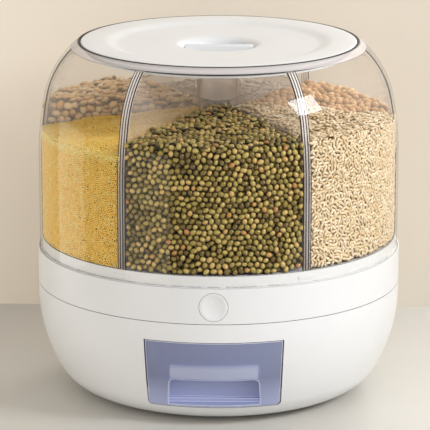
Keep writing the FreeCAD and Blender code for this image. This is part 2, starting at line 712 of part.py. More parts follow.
def cup_block(inset):
    """Rounded block within the drawer's cup, moved inwards by inset and open upwards when inset."""
    top = CUP_TOP_Z + (CLEAR if inset else 0)
    body = centred(CUP_HALF - inset, (-FAR, CUP_BACK_Y - inset), (CUP_LOW_Z + inset, top))
    back = [e for e in body.Edges if all(abs(v.Y - CUP_BACK_Y + inset) < 0.01 for v in e.Vertexes)
            and abs(e.Vertexes[0].Z - e.Vertexes[1].Z) > CLEAR]
    body = body.makeFillet(CUP_CORNER_R - inset, back)
    low = CUP_LOW_Z + inset
    foot = [e for e in body.Edges if all(abs(v.Z - low) < 0.01 for v in e.Vertexes)
            and e.BoundBox.YMax > -FAR + CLEAR]
    return body.makeChamfer(CUP_FOOT_BEVEL - inset / 2, foot)


def grip_hollow(inset, bowl):
    """The finger grip: a mouth through the fascia and a hook up behind it."""
    top_half, low_half = GRIP_TOP_HALF + inset, GRIP_LOW_HALF + inset
    back = GRIP_BACK_Y + inset
    mouth = front_prism(top_half, low_half, GRIP_TOP_Z, FLOOR_Z, (-FAR, back), GRIP_CORNER_R, True)
    roof = GRIP_ROOF_Z + inset
    fillet = GRIP_ROOF_R + inset
    hook = front_prism(top_half, top_half, roof, GRIP_TOP_Z - 2 * CUP_WALL, (-FAR, back), fillet, True)
    hook = fused(hook, front_prism(top_half, low_half, GRIP_TOP_Z, FLOOR_Z, (-FAR, back), CLEAR / 2, True))
    return mouth, hook.common(bowl)


def drawer_cup():
    outer = bowl_body(bowl_curve, 0, OPENING_TOP_Z)
    inner = bowl_body(bowl_curve, FASCIA_WALL, OPENING_TOP_Z)
    fascia = opening(FASCIA_SIDE_GAP, FASCIA_END_GAP, (-FAR, CUP_BACK_Y)).common(outer).cut(inner)
    cup = cup_block(0).common(outer).cut(cup_block(CUP_WALL).common(inner))
    mouth, hook = grip_hollow(0, inner)
    _, casing = grip_hollow(CUP_WALL, bowl_body(bowl_curve, FASCIA_WALL - CLEAR, OPENING_TOP_Z))
    casing = casing.common(cup_block(0))
    floor_top = CUP_LOW_Z + CUP_WALL
    above = centred(FAR, (-FAR, FAR), (floor_top, FAR))
    hollow = fused(mouth, hook).common(above)
    body = fused(fascia, cup, casing).cut([hollow])
    step = centred(GRIP_TOP_HALF + CUP_WALL / 2, (GRIP_BACK_Y - GRIP_STEP_DEPTH, GRIP_BACK_Y + CLEAR),
                   (floor_top - CLEAR, floor_top + GRIP_STEP_H))
    return fused(body, step)


def push_button():
    body = pin(BUTTON_R, -BASE_R - CLEAR, BUTTON_BACK_Y, 0, BUTTON_Z)
    body = body.common(rod(BASE_R, SEAM_Z, RIM_Z))
    reach = BUTTON_DISH_R - BUTTON_DISH_DEPTH
    dish = Part.makeSphere(BUTTON_DISH_R, Vector(0, -BASE_R - reach, BUTTON_Z))
    hollow = pin(BUTTON_R - BUTTON_WALL, BUTTON_INNER_Y, BUTTON_BACK_Y + CLEAR, 0, BUTTON_Z)
    body = body.cut([dish, hollow])
    peg = pin(PEG_R, BUTTON_INNER_Y - CLEAR / 2, BUTTON_INNER_Y + PEG_LENGTH, 0, SPRING_Z)
    bosses = [pin(GATE_BOSS_R, BUTTON_INNER_Y - CLEAR / 2, BUTTON_BACK_Y, x, GATE_SCREW_Z)
              for x in (-GATE_SCREW_X, GATE_SCREW_X)]
    body = fused(body, peg, *bosses)
    deep = BUTTON_BACK_Y - GATE_SCREW_LENGTH
    holes = [pin(GATE_SCREW_R + SCREW_FIT, deep, BUTTON_BACK_Y + CLEAR, x, GATE_SCREW_Z)
             for x in (-GATE_SCREW_X, GATE_SCREW_X)]
    return body.cut(holes)


def gate_slider():
    """Shutter: its window lies in front of the deck's outlet and moves over it as the button goes in."""
    back = -(OUTLET_IN_R - GATE_BACK_LAND)
    body = centred(GATE_HALF, (BUTTON_BACK_Y, back), (GATE_LOW_Z, GATE_TOP_Z))
    tab = centred(GATE_TAB_HALF, (BUTTON_BACK_Y, GATE_TAB_BACK_Y), (GATE_TOP_Z - GATE_TAB_DROP, GATE_TOP_Z))
    window = centred(OUTLET_LENGTH / 2 + GATE_LAND / 4,
                     (-OUTLET_OUT_R - GATE_TRAVEL, -OUTLET_IN_R - GATE_TRAVEL),
                     (GATE_LOW_Z - CLEAR, GATE_TOP_Z + CLEAR))
    holes = [pin(GATE_SCREW_R + SCREW_FIT, BUTTON_BACK_Y - CLEAR, GATE_TAB_BACK_Y + CLEAR, x, GATE_SCREW_Z)
             for x in (-GATE_SCREW_X, GATE_SCREW_X)]
    return fused(body, tab).cut([window, *holes])


def gate_screws():
    solids = []
    for x in (-GATE_SCREW_X, GATE_SCREW_X):
        head = pin(GATE_SCREW_HEAD_R, GATE_TAB_BACK_Y, GATE_TAB_BACK_Y + GATE_SCREW_HEAD_H, x, GATE_SCREW_Z)
        tip = BUTTON_BACK_Y - GATE_SCREW_LENGTH + CLEAR
        solids.append(fused(head, pin(GATE_SCREW_R, tip, GATE_TAB_BACK_Y + CLEAR, x, GATE_SCREW_Z)))
    return solids


def return_spring():
    """Compression spring between the button and the chute's front wall, of square wire."""
    first, last = BUTTON_INNER_Y + SEAT_GAP, SPRING_SEAT_Y - SEAT_GAP
    height = last - first - SPRING_WIRE
    mean = SPRING_R - SPRING_WIRE / 2
    helix = Part.makeHelix(height / SPRING_TURNS, height, mean)
    half = SPRING_WIRE / 2
    corners = ((-half, -half), (half, -half), (half, half), (-half, half), (-half, -half))
    section = Part.makePolygon([Vector(mean + dx, 0, dz) for dx, dz in corners])
    coil = Part.Wire(helix).makePipeShell([section], True, True)
    coil.rotate(ORIGIN, Vector(1, 0, 0), -90)
    coil.translate(Vector(0, first + half, SPRING_Z))
    return sound(coil)


def spindle():
    shaft = rod(SPINDLE_R, BOSS_LOW_Z - SPINDLE_FLANGE_H, SPINDLE_TOP_Z)
    flange = rod(SPINDLE_FLANGE_R, BOSS_LOW_Z - SPINDLE_FLANGE_H, BOSS_LOW_Z)
    bore = rod(SPINDLE_SCREW_R + SCREW_FIT, SPINDLE_TOP_Z - SPINDLE_SCREW_DEPTH - CLEAR, SPINDLE_TOP_Z + CLEAR)
    return fused(shaft, flange).cut([bore])


def spindle_washer():
    return ring(SPINDLE_SCREW_R + SEAT_GAP, WASHER_R, SPINDLE_TOP_Z, SPINDLE_TOP_Z + WASHER_H)


def spindle_screw():
    seat = SPINDLE_TOP_Z + WASHER_H
    head = rod(2 * SPINDLE_SCREW_R, seat, seat + SCREW_HEAD_H)
    return fused(head, rod(SPINDLE_SCREW_R, SPINDLE_TOP_Z - SPINDLE_SCREW_DEPTH, seat + CLEAR))


def roller_cage():
    body = ring(TRACK_R - CAGE_WIDTH / 2, TRACK_R + CAGE_WIDTH / 2,
                ROLLER_Z - CAGE_WALL / 2, ROLLER_Z + CAGE_WALL / 2)
    half = ROLLER_LENGTH / 2 + SEAT_GAP
    side = ROLLER_R + SEAT_GAP
    slot = block((TRACK_R - half, TRACK_R + half), (-side, side), (ROLLER_Z - CAGE_WALL, ROLLER_Z + CAGE_WALL))
    return body.cut(around(slot, ROLLER_COUNT))


def rollers():
    start = Vector(TRACK_R - ROLLER_LENGTH / 2, 0, ROLLER_Z)
    roller = Part.makeCylinder(ROLLER_R, ROLLER_LENGTH, start, Vector(1, 0, 0))
    return around(roller, ROLLER_COUNT)


def fan(left, right, rim):
    """Triangles between a straight edge and a run of points that starts on the left one's side."""
    half = len(rim) // 2
    triangles = [[left, a, b] for a, b in zip(rim[:half], rim[1:])]
    triangles += [[right, a, b] for a, b in zip(rim[half:], rim[half + 1:])]
    return triangles + [[left, rim[half], right]]


def hopper():
    """Funnel over one outlet, on +X. Its walls cross the floor's cone and end a little above it."""

    def foot(r, side):
        return Vector(r, side * OUTLET_LENGTH / 2, HOPPER_LOW_Z)

    def top(r, z, share, start):
        limit = SECTOR / 2 - math.degrees(math.asin(RIDGE_HALF / r))
        x, y = polar(r, share * limit)
        return start + (Vector(x, y, z) - start) * HOPPER_REACH_RATIO

    foot_in = [foot(OUTLET_IN_R, side) for side in (-1, 1)]
    foot_out = [foot(OUTLET_OUT_R, side) for side in (-1, 1)]
    top_in = [top(PEAK_R, PEAK_Z, side, foot_in[side > 0]) for side in (-1, 1)]
    shares = [2 * i / HOPPER_STEPS - 1 for i in range(HOPPER_STEPS + 1)]
    rim = [top(RIM_IN_R, BAND_TOP_Z, share, foot_out[share > 0]) for share in shares]
    polygons = [foot_in + foot_out[::-1], foot_in + top_in[::-1]]
    polygons += fan(*foot_out, rim) + fan(*top_in, rim)
    for side, end in ((0, rim[0]), (1, rim[-1])):
        polygons.append([foot_in[side], foot_out[side], end])
        polygons.append([foot_in[side], end, top_in[side]])
    return flat_sided(polygons)


def spout(wall, z_low, z_high):
    """Upright duct round one outlet, on +X, solid."""
    half = OUTLET_LENGTH / 2 + wall
    return block((OUTLET_IN_R - wall, OUTLET_OUT_R + wall), (-half, half), (z_low, z_high))


def lug(grow):
    """Snap lug on the tray's rim, grown on every side for its pocket in the skirt."""
    angle = LUG_HALF_ANGLE + math.degrees(grow / RIM_OUT_R)
    low, high = TRAY_Z + LUG_RISE - grow, TRAY_Z + LUG_RISE + LUG_H + grow
    out = RIM_OUT_R + LUG_PROUD + grow
    section = path((RIM_OUT_R - CLEAR, low), (out, low), (out, high), (RIM_OUT_R - CLEAR, high),
                   (RIM_OUT_R - CLEAR, low))
    return turned(lathe(section, 2 * angle), -angle)


def casing():
    """Outer form of one hopper with its spout, on +X, solid."""
    walls = hopper()
    walls.translate(Vector(0, 0, -TRAY_WALL))
    return walls.fuse(spout(SPOUT_WALL, OUTLET_Z, HOPPER_LOW_Z + CLEAR))


def turntable():
    """Hub, coned floor and rim, without windows."""
    bore = SPINDLE_R + SPINDLE_FIT
    spigot_r = HUB_R - HUB_WALL - SEAT_GAP
    cup_r = spigot_r - SPIGOT_WALL
    mid = (RIM_IN_R + RIM_OUT_R) / 2
    sheet = lathe(path((cup_r, PEAK_Z - TRAY_WALL), (cup_r, PEAK_Z), (PEAK_R, PEAK_Z), (mid, cone_z(mid)),
                       (mid, cone_z(mid) - TRAY_WALL), (PEAK_R, PEAK_Z - TRAY_WALL),
                       (cup_r, PEAK_Z - TRAY_WALL)))
    hub = lathe(path((bore, BOSS_TOP_Z + SEAT_GAP), (BOSS_R, BOSS_TOP_Z + SEAT_GAP), (BOSS_R, WASHER_SEAT_Z),
                     (spigot_r, WASHER_SEAT_Z), (spigot_r, PEAK_Z + SPIGOT_H), (cup_r, PEAK_Z + SPIGOT_H),
                     (cup_r, WASHER_SEAT_Z), (bore, WASHER_SEAT_Z), (bore, BOSS_TOP_Z + SEAT_GAP)))
    rim = lathe(path((RIM_IN_R, TRAY_Z), (DRUM_R, TRAY_Z), (DRUM_R, SKIRT_Z), (RIM_OUT_R, SKIRT_Z),
                     (RIM_OUT_R, BAND_TOP_Z), (RIM_IN_R, BAND_TOP_Z), (RIM_IN_R, TRAY_Z)))
    return sheet.fuse([hub, rim])


def floor_tray():
    """Turntable with a window over each hopper and the rollers' upper track underneath."""
    body = turntable()
    for window in around(hopper(), first=FRONT):
        body = body.cut(window)
    track = ring(TRACK_R - TRACK_RING_WIDTH / 2, TRACK_R + TRACK_RING_WIDTH / 2,
                 TRACK_RING_Z, cone_z(TRACK_R) - TRAY_WALL / 2)
    for below in around(casing(), first=FRONT):
        track = track.cut(below)
    for piece in [track] + around(lug(0), first=FRONT + SECTOR / 2):
        body = body.fuse(piece)
    return body.removeSplitter()


def floor_hopper():
    """Hopper under one window of the tray, on +X, with its spout."""
    body = casing().cut(turntable()).cut(hopper())
    body = body.cut(spout(0, OUTLET_Z - CLEAR, HOPPER_LOW_Z + CLEAR / 2))
    return body.removeSplitter()


def outlet_seals():
    """Soft frames under the spouts."""
    frame = spout(SPOUT_WALL, SEAL_Z, OUTLET_Z).cut(spout(0, SEAL_Z - CLEAR, OUTLET_Z + CLEAR))
    return around(frame, first=FRONT)


def drum_shell():
    """Clear bell with a thick neck ring, and a pair of guide ribs for every fin."""
    seat_r = LID_R + LID_GAP
    neck = path((bell_r(0, NECK_TOP_Z), NECK_TOP_Z), (seat_r, NECK_TOP_Z), (seat_r, LID_SEAT_Z),
                (NECK_BORE_R, LID_SEAT_Z), (NECK_BORE_R, NECK_LOW_Z),
                (bell_r(DRUM_WALL, NECK_LOW_Z), NECK_LOW_Z))
    foot = path((SKIRT_INNER_R, SKIRT_Z), (DRUM_R, SKIRT_Z))
    walls = bell_curve(0, SKIRT_Z, NECK_TOP_Z) + bell_curve(DRUM_WALL, SKIRT_Z, NECK_LOW_Z)
    shell = lathe(walls + neck + foot)
    low, high = BAND_TOP_Z + RUN_GAP, NECK_LOW_Z + CLEAR / 2
    root, tip = DRUM_WALL - CLEAR / 2, DRUM_WALL + RIB_DEPTH
    rib_edges = bell_curve(root, low, high) + bell_curve(tip, low, high)
    rib_edges += path((DRUM_R - root, low), (DRUM_R - tip, low))
    rib_edges += path((bell_r(root, high), high), (bell_r(tip, high), high))
    offset = FIN_WALL / 2 + SEAT_GAP + RIB_WALL / 2
    ribs = []
    for side in (-1, 1):
        ribs += around(plate(rib_edges, RIB_WALL, side * offset), first=FRONT + SECTOR / 2)
    pockets = around(lug(SEAT_GAP), first=FRONT + SECTOR / 2)
    return fused(shell, *ribs).cut(pockets)


def divider_insert():
    """Hub tube with six fins, each scooped beside the hub to clear the lid's well."""
    inset = DRUM_WALL + SEAT_GAP
    gap = SEAT_GAP
    side = DRUM_R - inset
    scoop_out = HUB_R + SCOOP_R
    scoop = arc(at(HUB_R, SCOOP_LOW_Z + SCOOP_R), SCOOP_R, -90, 0)
    root = HUB_R - HUB_WALL / 2
    edges = bell_curve(inset, BAND_TOP_Z + gap, FIN_TOP_Z)
    edges += path((bell_r(inset, FIN_TOP_Z), FIN_TOP_Z), (scoop_out, FIN_TOP_Z),
                  (scoop_out, SCOOP_LOW_Z + SCOOP_R))
    edges.append(scoop)
    edges += path((HUB_R, SCOOP_LOW_Z), (root, SCOOP_LOW_Z), (root, PEAK_Z + gap), (PEAK_R, PEAK_Z + gap),
                  (RIM_IN_R, BAND_TOP_Z + gap), (side, BAND_TOP_Z + gap))
    fins = around(plate(edges, FIN_WALL), first=FRONT + SECTOR / 2)
    tube = ring(HUB_R - HUB_WALL, HUB_R, PEAK_Z + gap, HUB_TOP_Z)
    core = rod(HUB_R - HUB_WALL, PEAK_Z, HUB_TOP_Z + CLEAR)
    return fused(tube, *fins).cut([core])


def hub_plug():
    r = HUB_R - HUB_WALL - SEAT_GAP
    low = HUB_TOP_Z - PLUG_DEPTH
    top = HUB_TOP_Z + PLUG_FLANGE
    inner = r - PLUG_WALL
    floor = low + PLUG_WALL
    return lathe(path((0, low), (r - PLUG_BEVEL, low), (r, low + PLUG_BEVEL), (r, HUB_TOP_Z),
                      (HUB_R, HUB_TOP_Z), (HUB_R, top), (inner, top), (inner, floor + PLUG_BEVEL),
                      (inner - PLUG_BEVEL, floor), (0, floor), (0, low)))


def lid():
    """Raised outer ring, slope to the dished middle, and a sunk well with a grip fin across it."""
    dished = LID_TOP_Z - LID_DISH
    floor = dished - WELL_DEPTH
    skirt_out = NECK_BORE_R - SKIRT_GAP
    skirt_in = skirt_out - SKIRT_WALL
    skirt_low = LID_SEAT_Z - SKIRT_H
    seal_top = LID_SEAT_Z - LID_SEAL_DROP + SEAT_GAP
    seal_low = seal_top - LID_SEAL_H - 2 * SEAT_GAP
    groove = skirt_out - LID_SEAL_SEAT
    lip = dished - WELL_LIP_DROP
    well_out = WELL_R + LID_WALL
    top = path((0, floor), (WELL_R - WELL_BEVEL, floor), (WELL_R, floor + WELL_BEVEL), (WELL_R, lip),
               (WELL_LIP_R, dished), (LID_DISHED_R, dished), (LID_RAISED_R, LID_TOP_Z),
               (LID_R - LID_BEVEL, LID_TOP_Z), (LID_R, LID_TOP_Z - LID_BEVEL), (LID_R, LID_EDGE_Z))
    skirt = path((LID_R, LID_EDGE_Z), (skirt_out, LID_EDGE_Z), (skirt_out, seal_top), (groove, seal_top),
                 (groove, seal_low), (skirt_out, seal_low), (skirt_out, skirt_low), (skirt_in, skirt_low),
                 (skirt_in, LID_TOP_Z - LID_WALL))
    underside = path((skirt_in, LID_TOP_Z - LID_WALL), (LID_RAISED_R, LID_TOP_Z - LID_WALL),
                     (LID_DISHED_R, dished - LID_WALL), (WELL_LIP_R, dished - LID_WALL),
                     (well_out, lip - LID_WALL), (well_out, floor), (WELL_R - WELL_BEVEL, floor - LID_WALL),
                     (0, floor - LID_WALL), (0, floor))
    fin = centred(WELL_R + LID_WALL / 2, (-GRIP_FIN_WALL / 2, GRIP_FIN_WALL / 2),
                  (floor - LID_WALL / 2, dished - GRIP_FIN_SINK))
    top_edges = [e for e in fin.Edges if all(v.Z > dished - 2 * GRIP_FIN_SINK for v in e.Vertexes)
                 and abs(e.Vertexes[0].X - e.Vertexes[1].X) > WELL_R]
    fin = fin.makeFillet(GRIP_FIN_ROUND, top_edges)
    fin = fin.common(rod(WELL_R + LID_WALL / 2, floor - LID_WALL, LID_TOP_Z))
    return fused(lathe(top + skirt + underside), fin)


def lid_seal():
    skirt_out = NECK_BORE_R - SKIRT_GAP
    seat = skirt_out - LID_SEAL_SEAT + SEAT_GAP / 3
    lip = NECK_BORE_R - SEAT_GAP
    top = LID_SEAT_Z - LID_SEAL_DROP
    low = top - LID_SEAL_H
    return lathe(path((seat, low), (skirt_out, low), (lip, low + LID_SEAL_H / 3), (lip, top - LID_SEAL_H / 3),
                      (skirt_out, top), (seat, top), (seat, low)))


def rubber_feet():
    solids = []
    for x, y in foot_places():
        pad = rod(FOOT_R, 0, FLOOR_Z + FOOT_RECESS, x, y)
        low = [e for e in pad.Edges if all(abs(v.Z) < 0.01 for v in e.Vertexes)]
        solids.append(pad.makeChamfer(FOOT_RECESS, low))
    return solids


save("lower_shell", lower_shell())
save("upper_ring", upper_ring())
save("drawer_bay", drawer_bay())
save("outlet_chute", outlet_chute())
save("spindle", spindle())
save("spindle_washer", spindle_washer())
save("spindle_screw", spindle_screw())
save("base_screws", *base_screws())
save("chute_screws", *chute_screws())
save("bay_screws", *bay_screws())
save("rubber_feet", *rubber_feet())
save("push_button", push_button())
save("gate_slider", gate_slider())
save("gate_screws", *gate_screws())
save("return_spring", return_spring())
save("drawer_cup", drawer_cup())
save("roller_cage", roller_cage())
save("rollers", *rollers())
save("floor_tray", floor_tray())
for number, piece in enumerate(around(floor_hopper(), first=FRONT), 1):
    save(f"floor_hopper_{number}", piece)
save("outlet_seals", *outlet_seals())
save("drum_shell", drum_shell())
save("divider_insert", divider_insert())
save("hub_plug", hub_plug())
save("lid", lid())
save("lid_seal", lid_seal())
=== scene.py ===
import math
from collections import namedtuple

import bpy
import numpy as np
from bpy.props import FloatProperty, FloatVectorProperty, IntProperty, PointerProperty
from bpy.types import Operator, Panel, PropertyGroup
from mathutils import Matrix, Vector


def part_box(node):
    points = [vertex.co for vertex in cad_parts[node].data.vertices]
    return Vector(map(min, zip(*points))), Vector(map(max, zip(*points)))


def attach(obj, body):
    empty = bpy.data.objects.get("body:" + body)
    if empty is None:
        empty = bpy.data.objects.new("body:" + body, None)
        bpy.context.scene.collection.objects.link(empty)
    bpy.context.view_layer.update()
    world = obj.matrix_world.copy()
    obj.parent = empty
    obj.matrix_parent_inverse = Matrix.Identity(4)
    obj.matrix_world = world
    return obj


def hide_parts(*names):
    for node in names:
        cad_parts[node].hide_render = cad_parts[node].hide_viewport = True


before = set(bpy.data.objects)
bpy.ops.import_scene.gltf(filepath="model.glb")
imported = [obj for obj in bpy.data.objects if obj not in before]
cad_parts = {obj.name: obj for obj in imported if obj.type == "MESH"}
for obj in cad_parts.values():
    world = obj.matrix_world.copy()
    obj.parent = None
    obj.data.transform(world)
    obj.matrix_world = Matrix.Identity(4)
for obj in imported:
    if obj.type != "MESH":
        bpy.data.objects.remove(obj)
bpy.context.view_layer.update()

bl_info = {
    "name": "Rotating grain keeper",
    "version": (1, 0, 0),
    "blender": (4, 5, 0),
    "location": "View3D > Sidebar > Grain keeper",
    "description": "Builds the looks of a rotating grain container around its CAD frame",
    "category": "Object",
}

MM = 0.001
FRONT = math.radians(-90)
COMPARTMENTS = 6
SECTOR = math.radians(60)

# Sizes read from the CAD nodes, in metres
SHELL_LOW, SHELL_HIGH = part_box("drum_shell")
LID_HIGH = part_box("lid")[1]
DRUM_R = SHELL_HIGH.x
SHELL_FOOT = SHELL_LOW.z
NECK_TOP = SHELL_HIGH.z
LID_R = LID_HIGH.x
LID_TOP = LID_HIGH.z

# Sizes that the boxes don't give: the drum's wall, the top of the tray's white band, the grain's outer face,
# and how far the grain keeps from a fin's middle and from the axis
WALL = 2.0 * MM
BAND_TOP = 138.3 * MM
GRAIN_R = DRUM_R - WALL - 0.4 * MM
FIN_CLEAR = 1.6 * MM
HUB_CLEAR = 19.5 * MM

# Meshes: faces round the drum and the lid, and the distance under which two points are one
DRUM_STEPS = 192
LID_STEPS = 160
WELD = 1e-6


def srgb(r, g, b):
    """Linear colour of an 8-bit screen colour."""
    def linear(v):
        v /= 255
        return v / 12.92 if v <= 0.04045 else ((v + 0.055) / 1.055) ** 2.4
    return (linear(r), linear(g), linear(b))


def colour_property(name, description, value):
    return FloatVectorProperty(name=name, description=description, subtype="COLOR", size=3,
                               min=0, max=1, default=value)


def length_property(name, description, value):
    return FloatProperty(name=name, description=description, unit="LENGTH", subtype="DISTANCE",
                         min=0.2 * MM, default=value)


class KeeperFinishes(PropertyGroup):
    casing: colour_property("Casing", "White moulded plastic of the base and the button", srgb(237, 238, 239))
    lid: colour_property("Lid", "White moulded plastic of the lid", srgb(236, 238, 240))
    tray: colour_property("Tray", "White moulded plastic of the turntable floor", srgb(236, 236, 236))
    drawer: colour_property("Drawer", "Blue tint of the drawer's clear plastic", srgb(200, 206, 238))
    clear: colour_property("Clear wall", "Faint tint of the clear plastic", srgb(255, 255, 254))


class KeeperGrains(PropertyGroup):
    green_bean: length_property("Green bean", "Length of a green bean", 6.1 * MM)
    millet: length_property("Millet", "Width of a millet grain", 2.1 * MM)
    rice: length_property("Rice", "Length of a grain of brown rice", 6.4 * MM)
    brown_bean: length_property("Brown bean", "Length of a brown bean", 9.5 * MM)
    chickpea: length_property("Chickpea", "Length of a chickpea", 8.8 * MM)
    white_rice: length_property("White rice", "Length of a grain of white rice", 6.2 * MM)
    seed: IntProperty(name="Seed", description="Start of the random draws", min=0, default=7)


class KeeperStudio(PropertyGroup):
    floor: colour_property("Floor", "Colour of the table top", srgb(208, 205, 198))
    wall: colour_property("Wall", "Colour of the wall behind the table", srgb(238, 229, 214))
    wall_y: length_property("Wall distance", "From the axis back to the wall", 0.245)


# Mesh helpers, all in edit mode on the active object

def deselect_all():
    bpy.ops.object.select_all(action="DESELECT")


def activate(piece):
    deselect_all()
    piece.select_set(True)
    bpy.context.view_layer.objects.active = piece


def start_vertex(name, point):
    """New object of one vertex, left in edit mode with the vertex selected."""
    deselect_all()
    bpy.ops.mesh.primitive_plane_add(size=0.001, location=(0, 0, 0))
    piece = bpy.context.object
    piece.name = piece.data.name = name
    bpy.ops.object.mode_set(mode="EDIT")
    bpy.ops.mesh.merge(type="CENTER")
    bpy.ops.transform.translate(value=point)
    return piece


def extrude_along(points):
    """Carry the selected vertex on through points, from the first one."""
    for a, b in zip(points, points[1:]):
        step = Vector(b) - Vector(a)
        bpy.ops.mesh.extrude_vertices_move(TRANSFORM_OT_translate={"value": step})


def finish_mesh():
    """Weld, turn the faces outwards and leave edit mode."""
    bpy.ops.mesh.select_all(action="SELECT")
    bpy.ops.mesh.remove_doubles(threshold=WELD)
    bpy.ops.mesh.normals_make_consistent(inside=False)
    bpy.ops.object.mode_set(mode="OBJECT")


def smooth(piece, degrees):
    """Shade smooth, with edges sharper than this left sharp."""
    activate(piece)
    bpy.ops.object.shade_smooth_by_angle(angle=math.radians(degrees))


def lathe(name, profile, steps, angle=2 * math.pi):
    """Closed ring or cup turned from an (r, z) profile about the axis, or a part of it with closed ends."""
    points = [(r, 0, z) for r, z in profile]
    piece = start_vertex(name, points[0])
    extrude_along(points)
    bpy.ops.mesh.select_all(action="SELECT")
    bpy.ops.mesh.spin(steps=steps, angle=angle, center=(0, 0, 0), axis=(0, 0, 1))
    if angle < 2 * math.pi:
        bpy.ops.mesh.select_all(action="SELECT")
        bpy.ops.mesh.remove_doubles(threshold=WELD)
        bpy.ops.mesh.fill_holes(sides=0)
    finish_mesh()
    return piece


def plate(name, outline, thickness, offset):
    """Upright plate of an (r, z) outline in the plane y = 0, its middle offset sideways."""
    points = [(r, offset - thickness / 2, z) for r, z in outline]
    piece = start_vertex(name, points[0])
    extrude_along(points)
    bpy.ops.mesh.select_all(action="SELECT")
    bpy.ops.mesh.edge_face_add()
    bpy.ops.mesh.extrude_region_move(TRANSFORM_OT_translate={"value": (0, thickness, 0)})
    finish_mesh()
    return piece


def turn(piece, angle):
    """Turn the mesh about the axis."""
    piece.data.transform(Matrix.Rotation(angle, 4, "Z"))


def join(parts):
    """Join pieces into the first one."""
    deselect_all()
    for part in parts:
        part.select_set(True)
    bpy.context.view_layer.objects.active = parts[0]
    bpy.ops.object.join()
    return parts[0]


def copies_around(piece, count, first):
    """Copies of a piece evenly round the axis, joined into it."""
    parts = [piece]
    for _ in range(count - 1):
        part = piece.copy()
        part.data = piece.data.copy()
        bpy.context.scene.collection.objects.link(part)
        parts.append(part)
    for i, part in enumerate(parts):
        turn(part, first + i * 2 * math.pi / count)
    return join(parts)


def add_modifier(piece, kind, **settings):
    activate(piece)
    modifier = piece.modifiers.new(kind.title(), kind)
    for key, value in settings.items():
        setattr(modifier, key, value)
    bpy.ops.object.modifier_apply(modifier=modifier.name)


def arc_points(centre, radius, start, end, count):
    """(r, z) points on an arc, angles in degrees from outwards."""
    angles = [math.radians(start + (end - start) * i / count) for i in range(count + 1)]
    return [(centre[0] + radius * math.cos(a), centre[1] + radius * math.sin(a)) for a in angles]


def square_ring(inside, outside, low, high):
    """Closed (r, z) outline of a ring with a square section."""
    return [(inside, low), (outside, low), (outside, high), (inside, high), (inside, low)]


# The drum's outer face: upright side, long arc (radius, degrees and middle), shoulder, and the neck ring on top
SIDE_R = 267 * MM
SIDE_TURN = 11.3
SIDE_CENTRE = (DRUM_R - SIDE_R, SHELL_FOOT + 80.7 * MM)
SIDE_STEPS, SHOULDER_STEPS, NECK_STEPS = 5, 12, 4
NECK_R = 124.0 * MM
NECK_LOW = NECK_TOP - 4.6 * MM


def shoulder():
    """Middle and radius of the arc that runs on from the long one to the neck."""
    out = Vector((math.cos(math.radians(SIDE_TURN)), math.sin(math.radians(SIDE_TURN))))
    begin = Vector(SIDE_CENTRE) + out * SIDE_R
    reach = Vector((NECK_R, NECK_TOP)) - begin
    radius = -reach.dot(reach) / (2 * out.dot(reach))
    return tuple(begin - out * radius), radius


SHOULDER_CENTRE, SHOULDER_R = shoulder()


def shoulder_angle(z, inset=0.0):
    """Angle in degrees at which the shoulder, moved inwards by inset, reaches a height."""
    return math.degrees(math.asin((z - SHOULDER_CENTRE[1]) / (SHOULDER_R - inset)))


def bell_points(inset, low, high, fine=1):
    """(r, z) points up the drum's wall, moved inwards by inset."""
    end = shoulder_angle(high, inset)
    long_arc = arc_points(SIDE_CENTRE, SIDE_R - inset, 0, SIDE_TURN, SIDE_STEPS * fine)
    top_arc = arc_points(SHOULDER_CENTRE, SHOULDER_R - inset, SIDE_TURN, end, SHOULDER_STEPS * fine)
    return [(DRUM_R - inset, low)] + long_arc + top_arc[1:]


# Materials

# A Mix node's sockets for two colours, and the one that their mixture leaves by
MIX_FIRST, MIX_SECOND, MIX_RESULT = 6, 7, 2
# Most that clear plastic mirrors, seen at a low angle
MIRROR_CAP = 0.28

# What clear plastic scatters: a colour and a share of the light, and for a share that changes with height, two
# heights and the factor at the first one, which runs to 1 at the second
Veil = namedtuple("Veil", "colour share heights factor", defaults=(None, 1.0))
# Painted lines along its edges: light lines are painted highlights and dark lines painted shade, standing for how
# light bends at a real clear edge
Line = namedtuple("Line", "colour width strength")


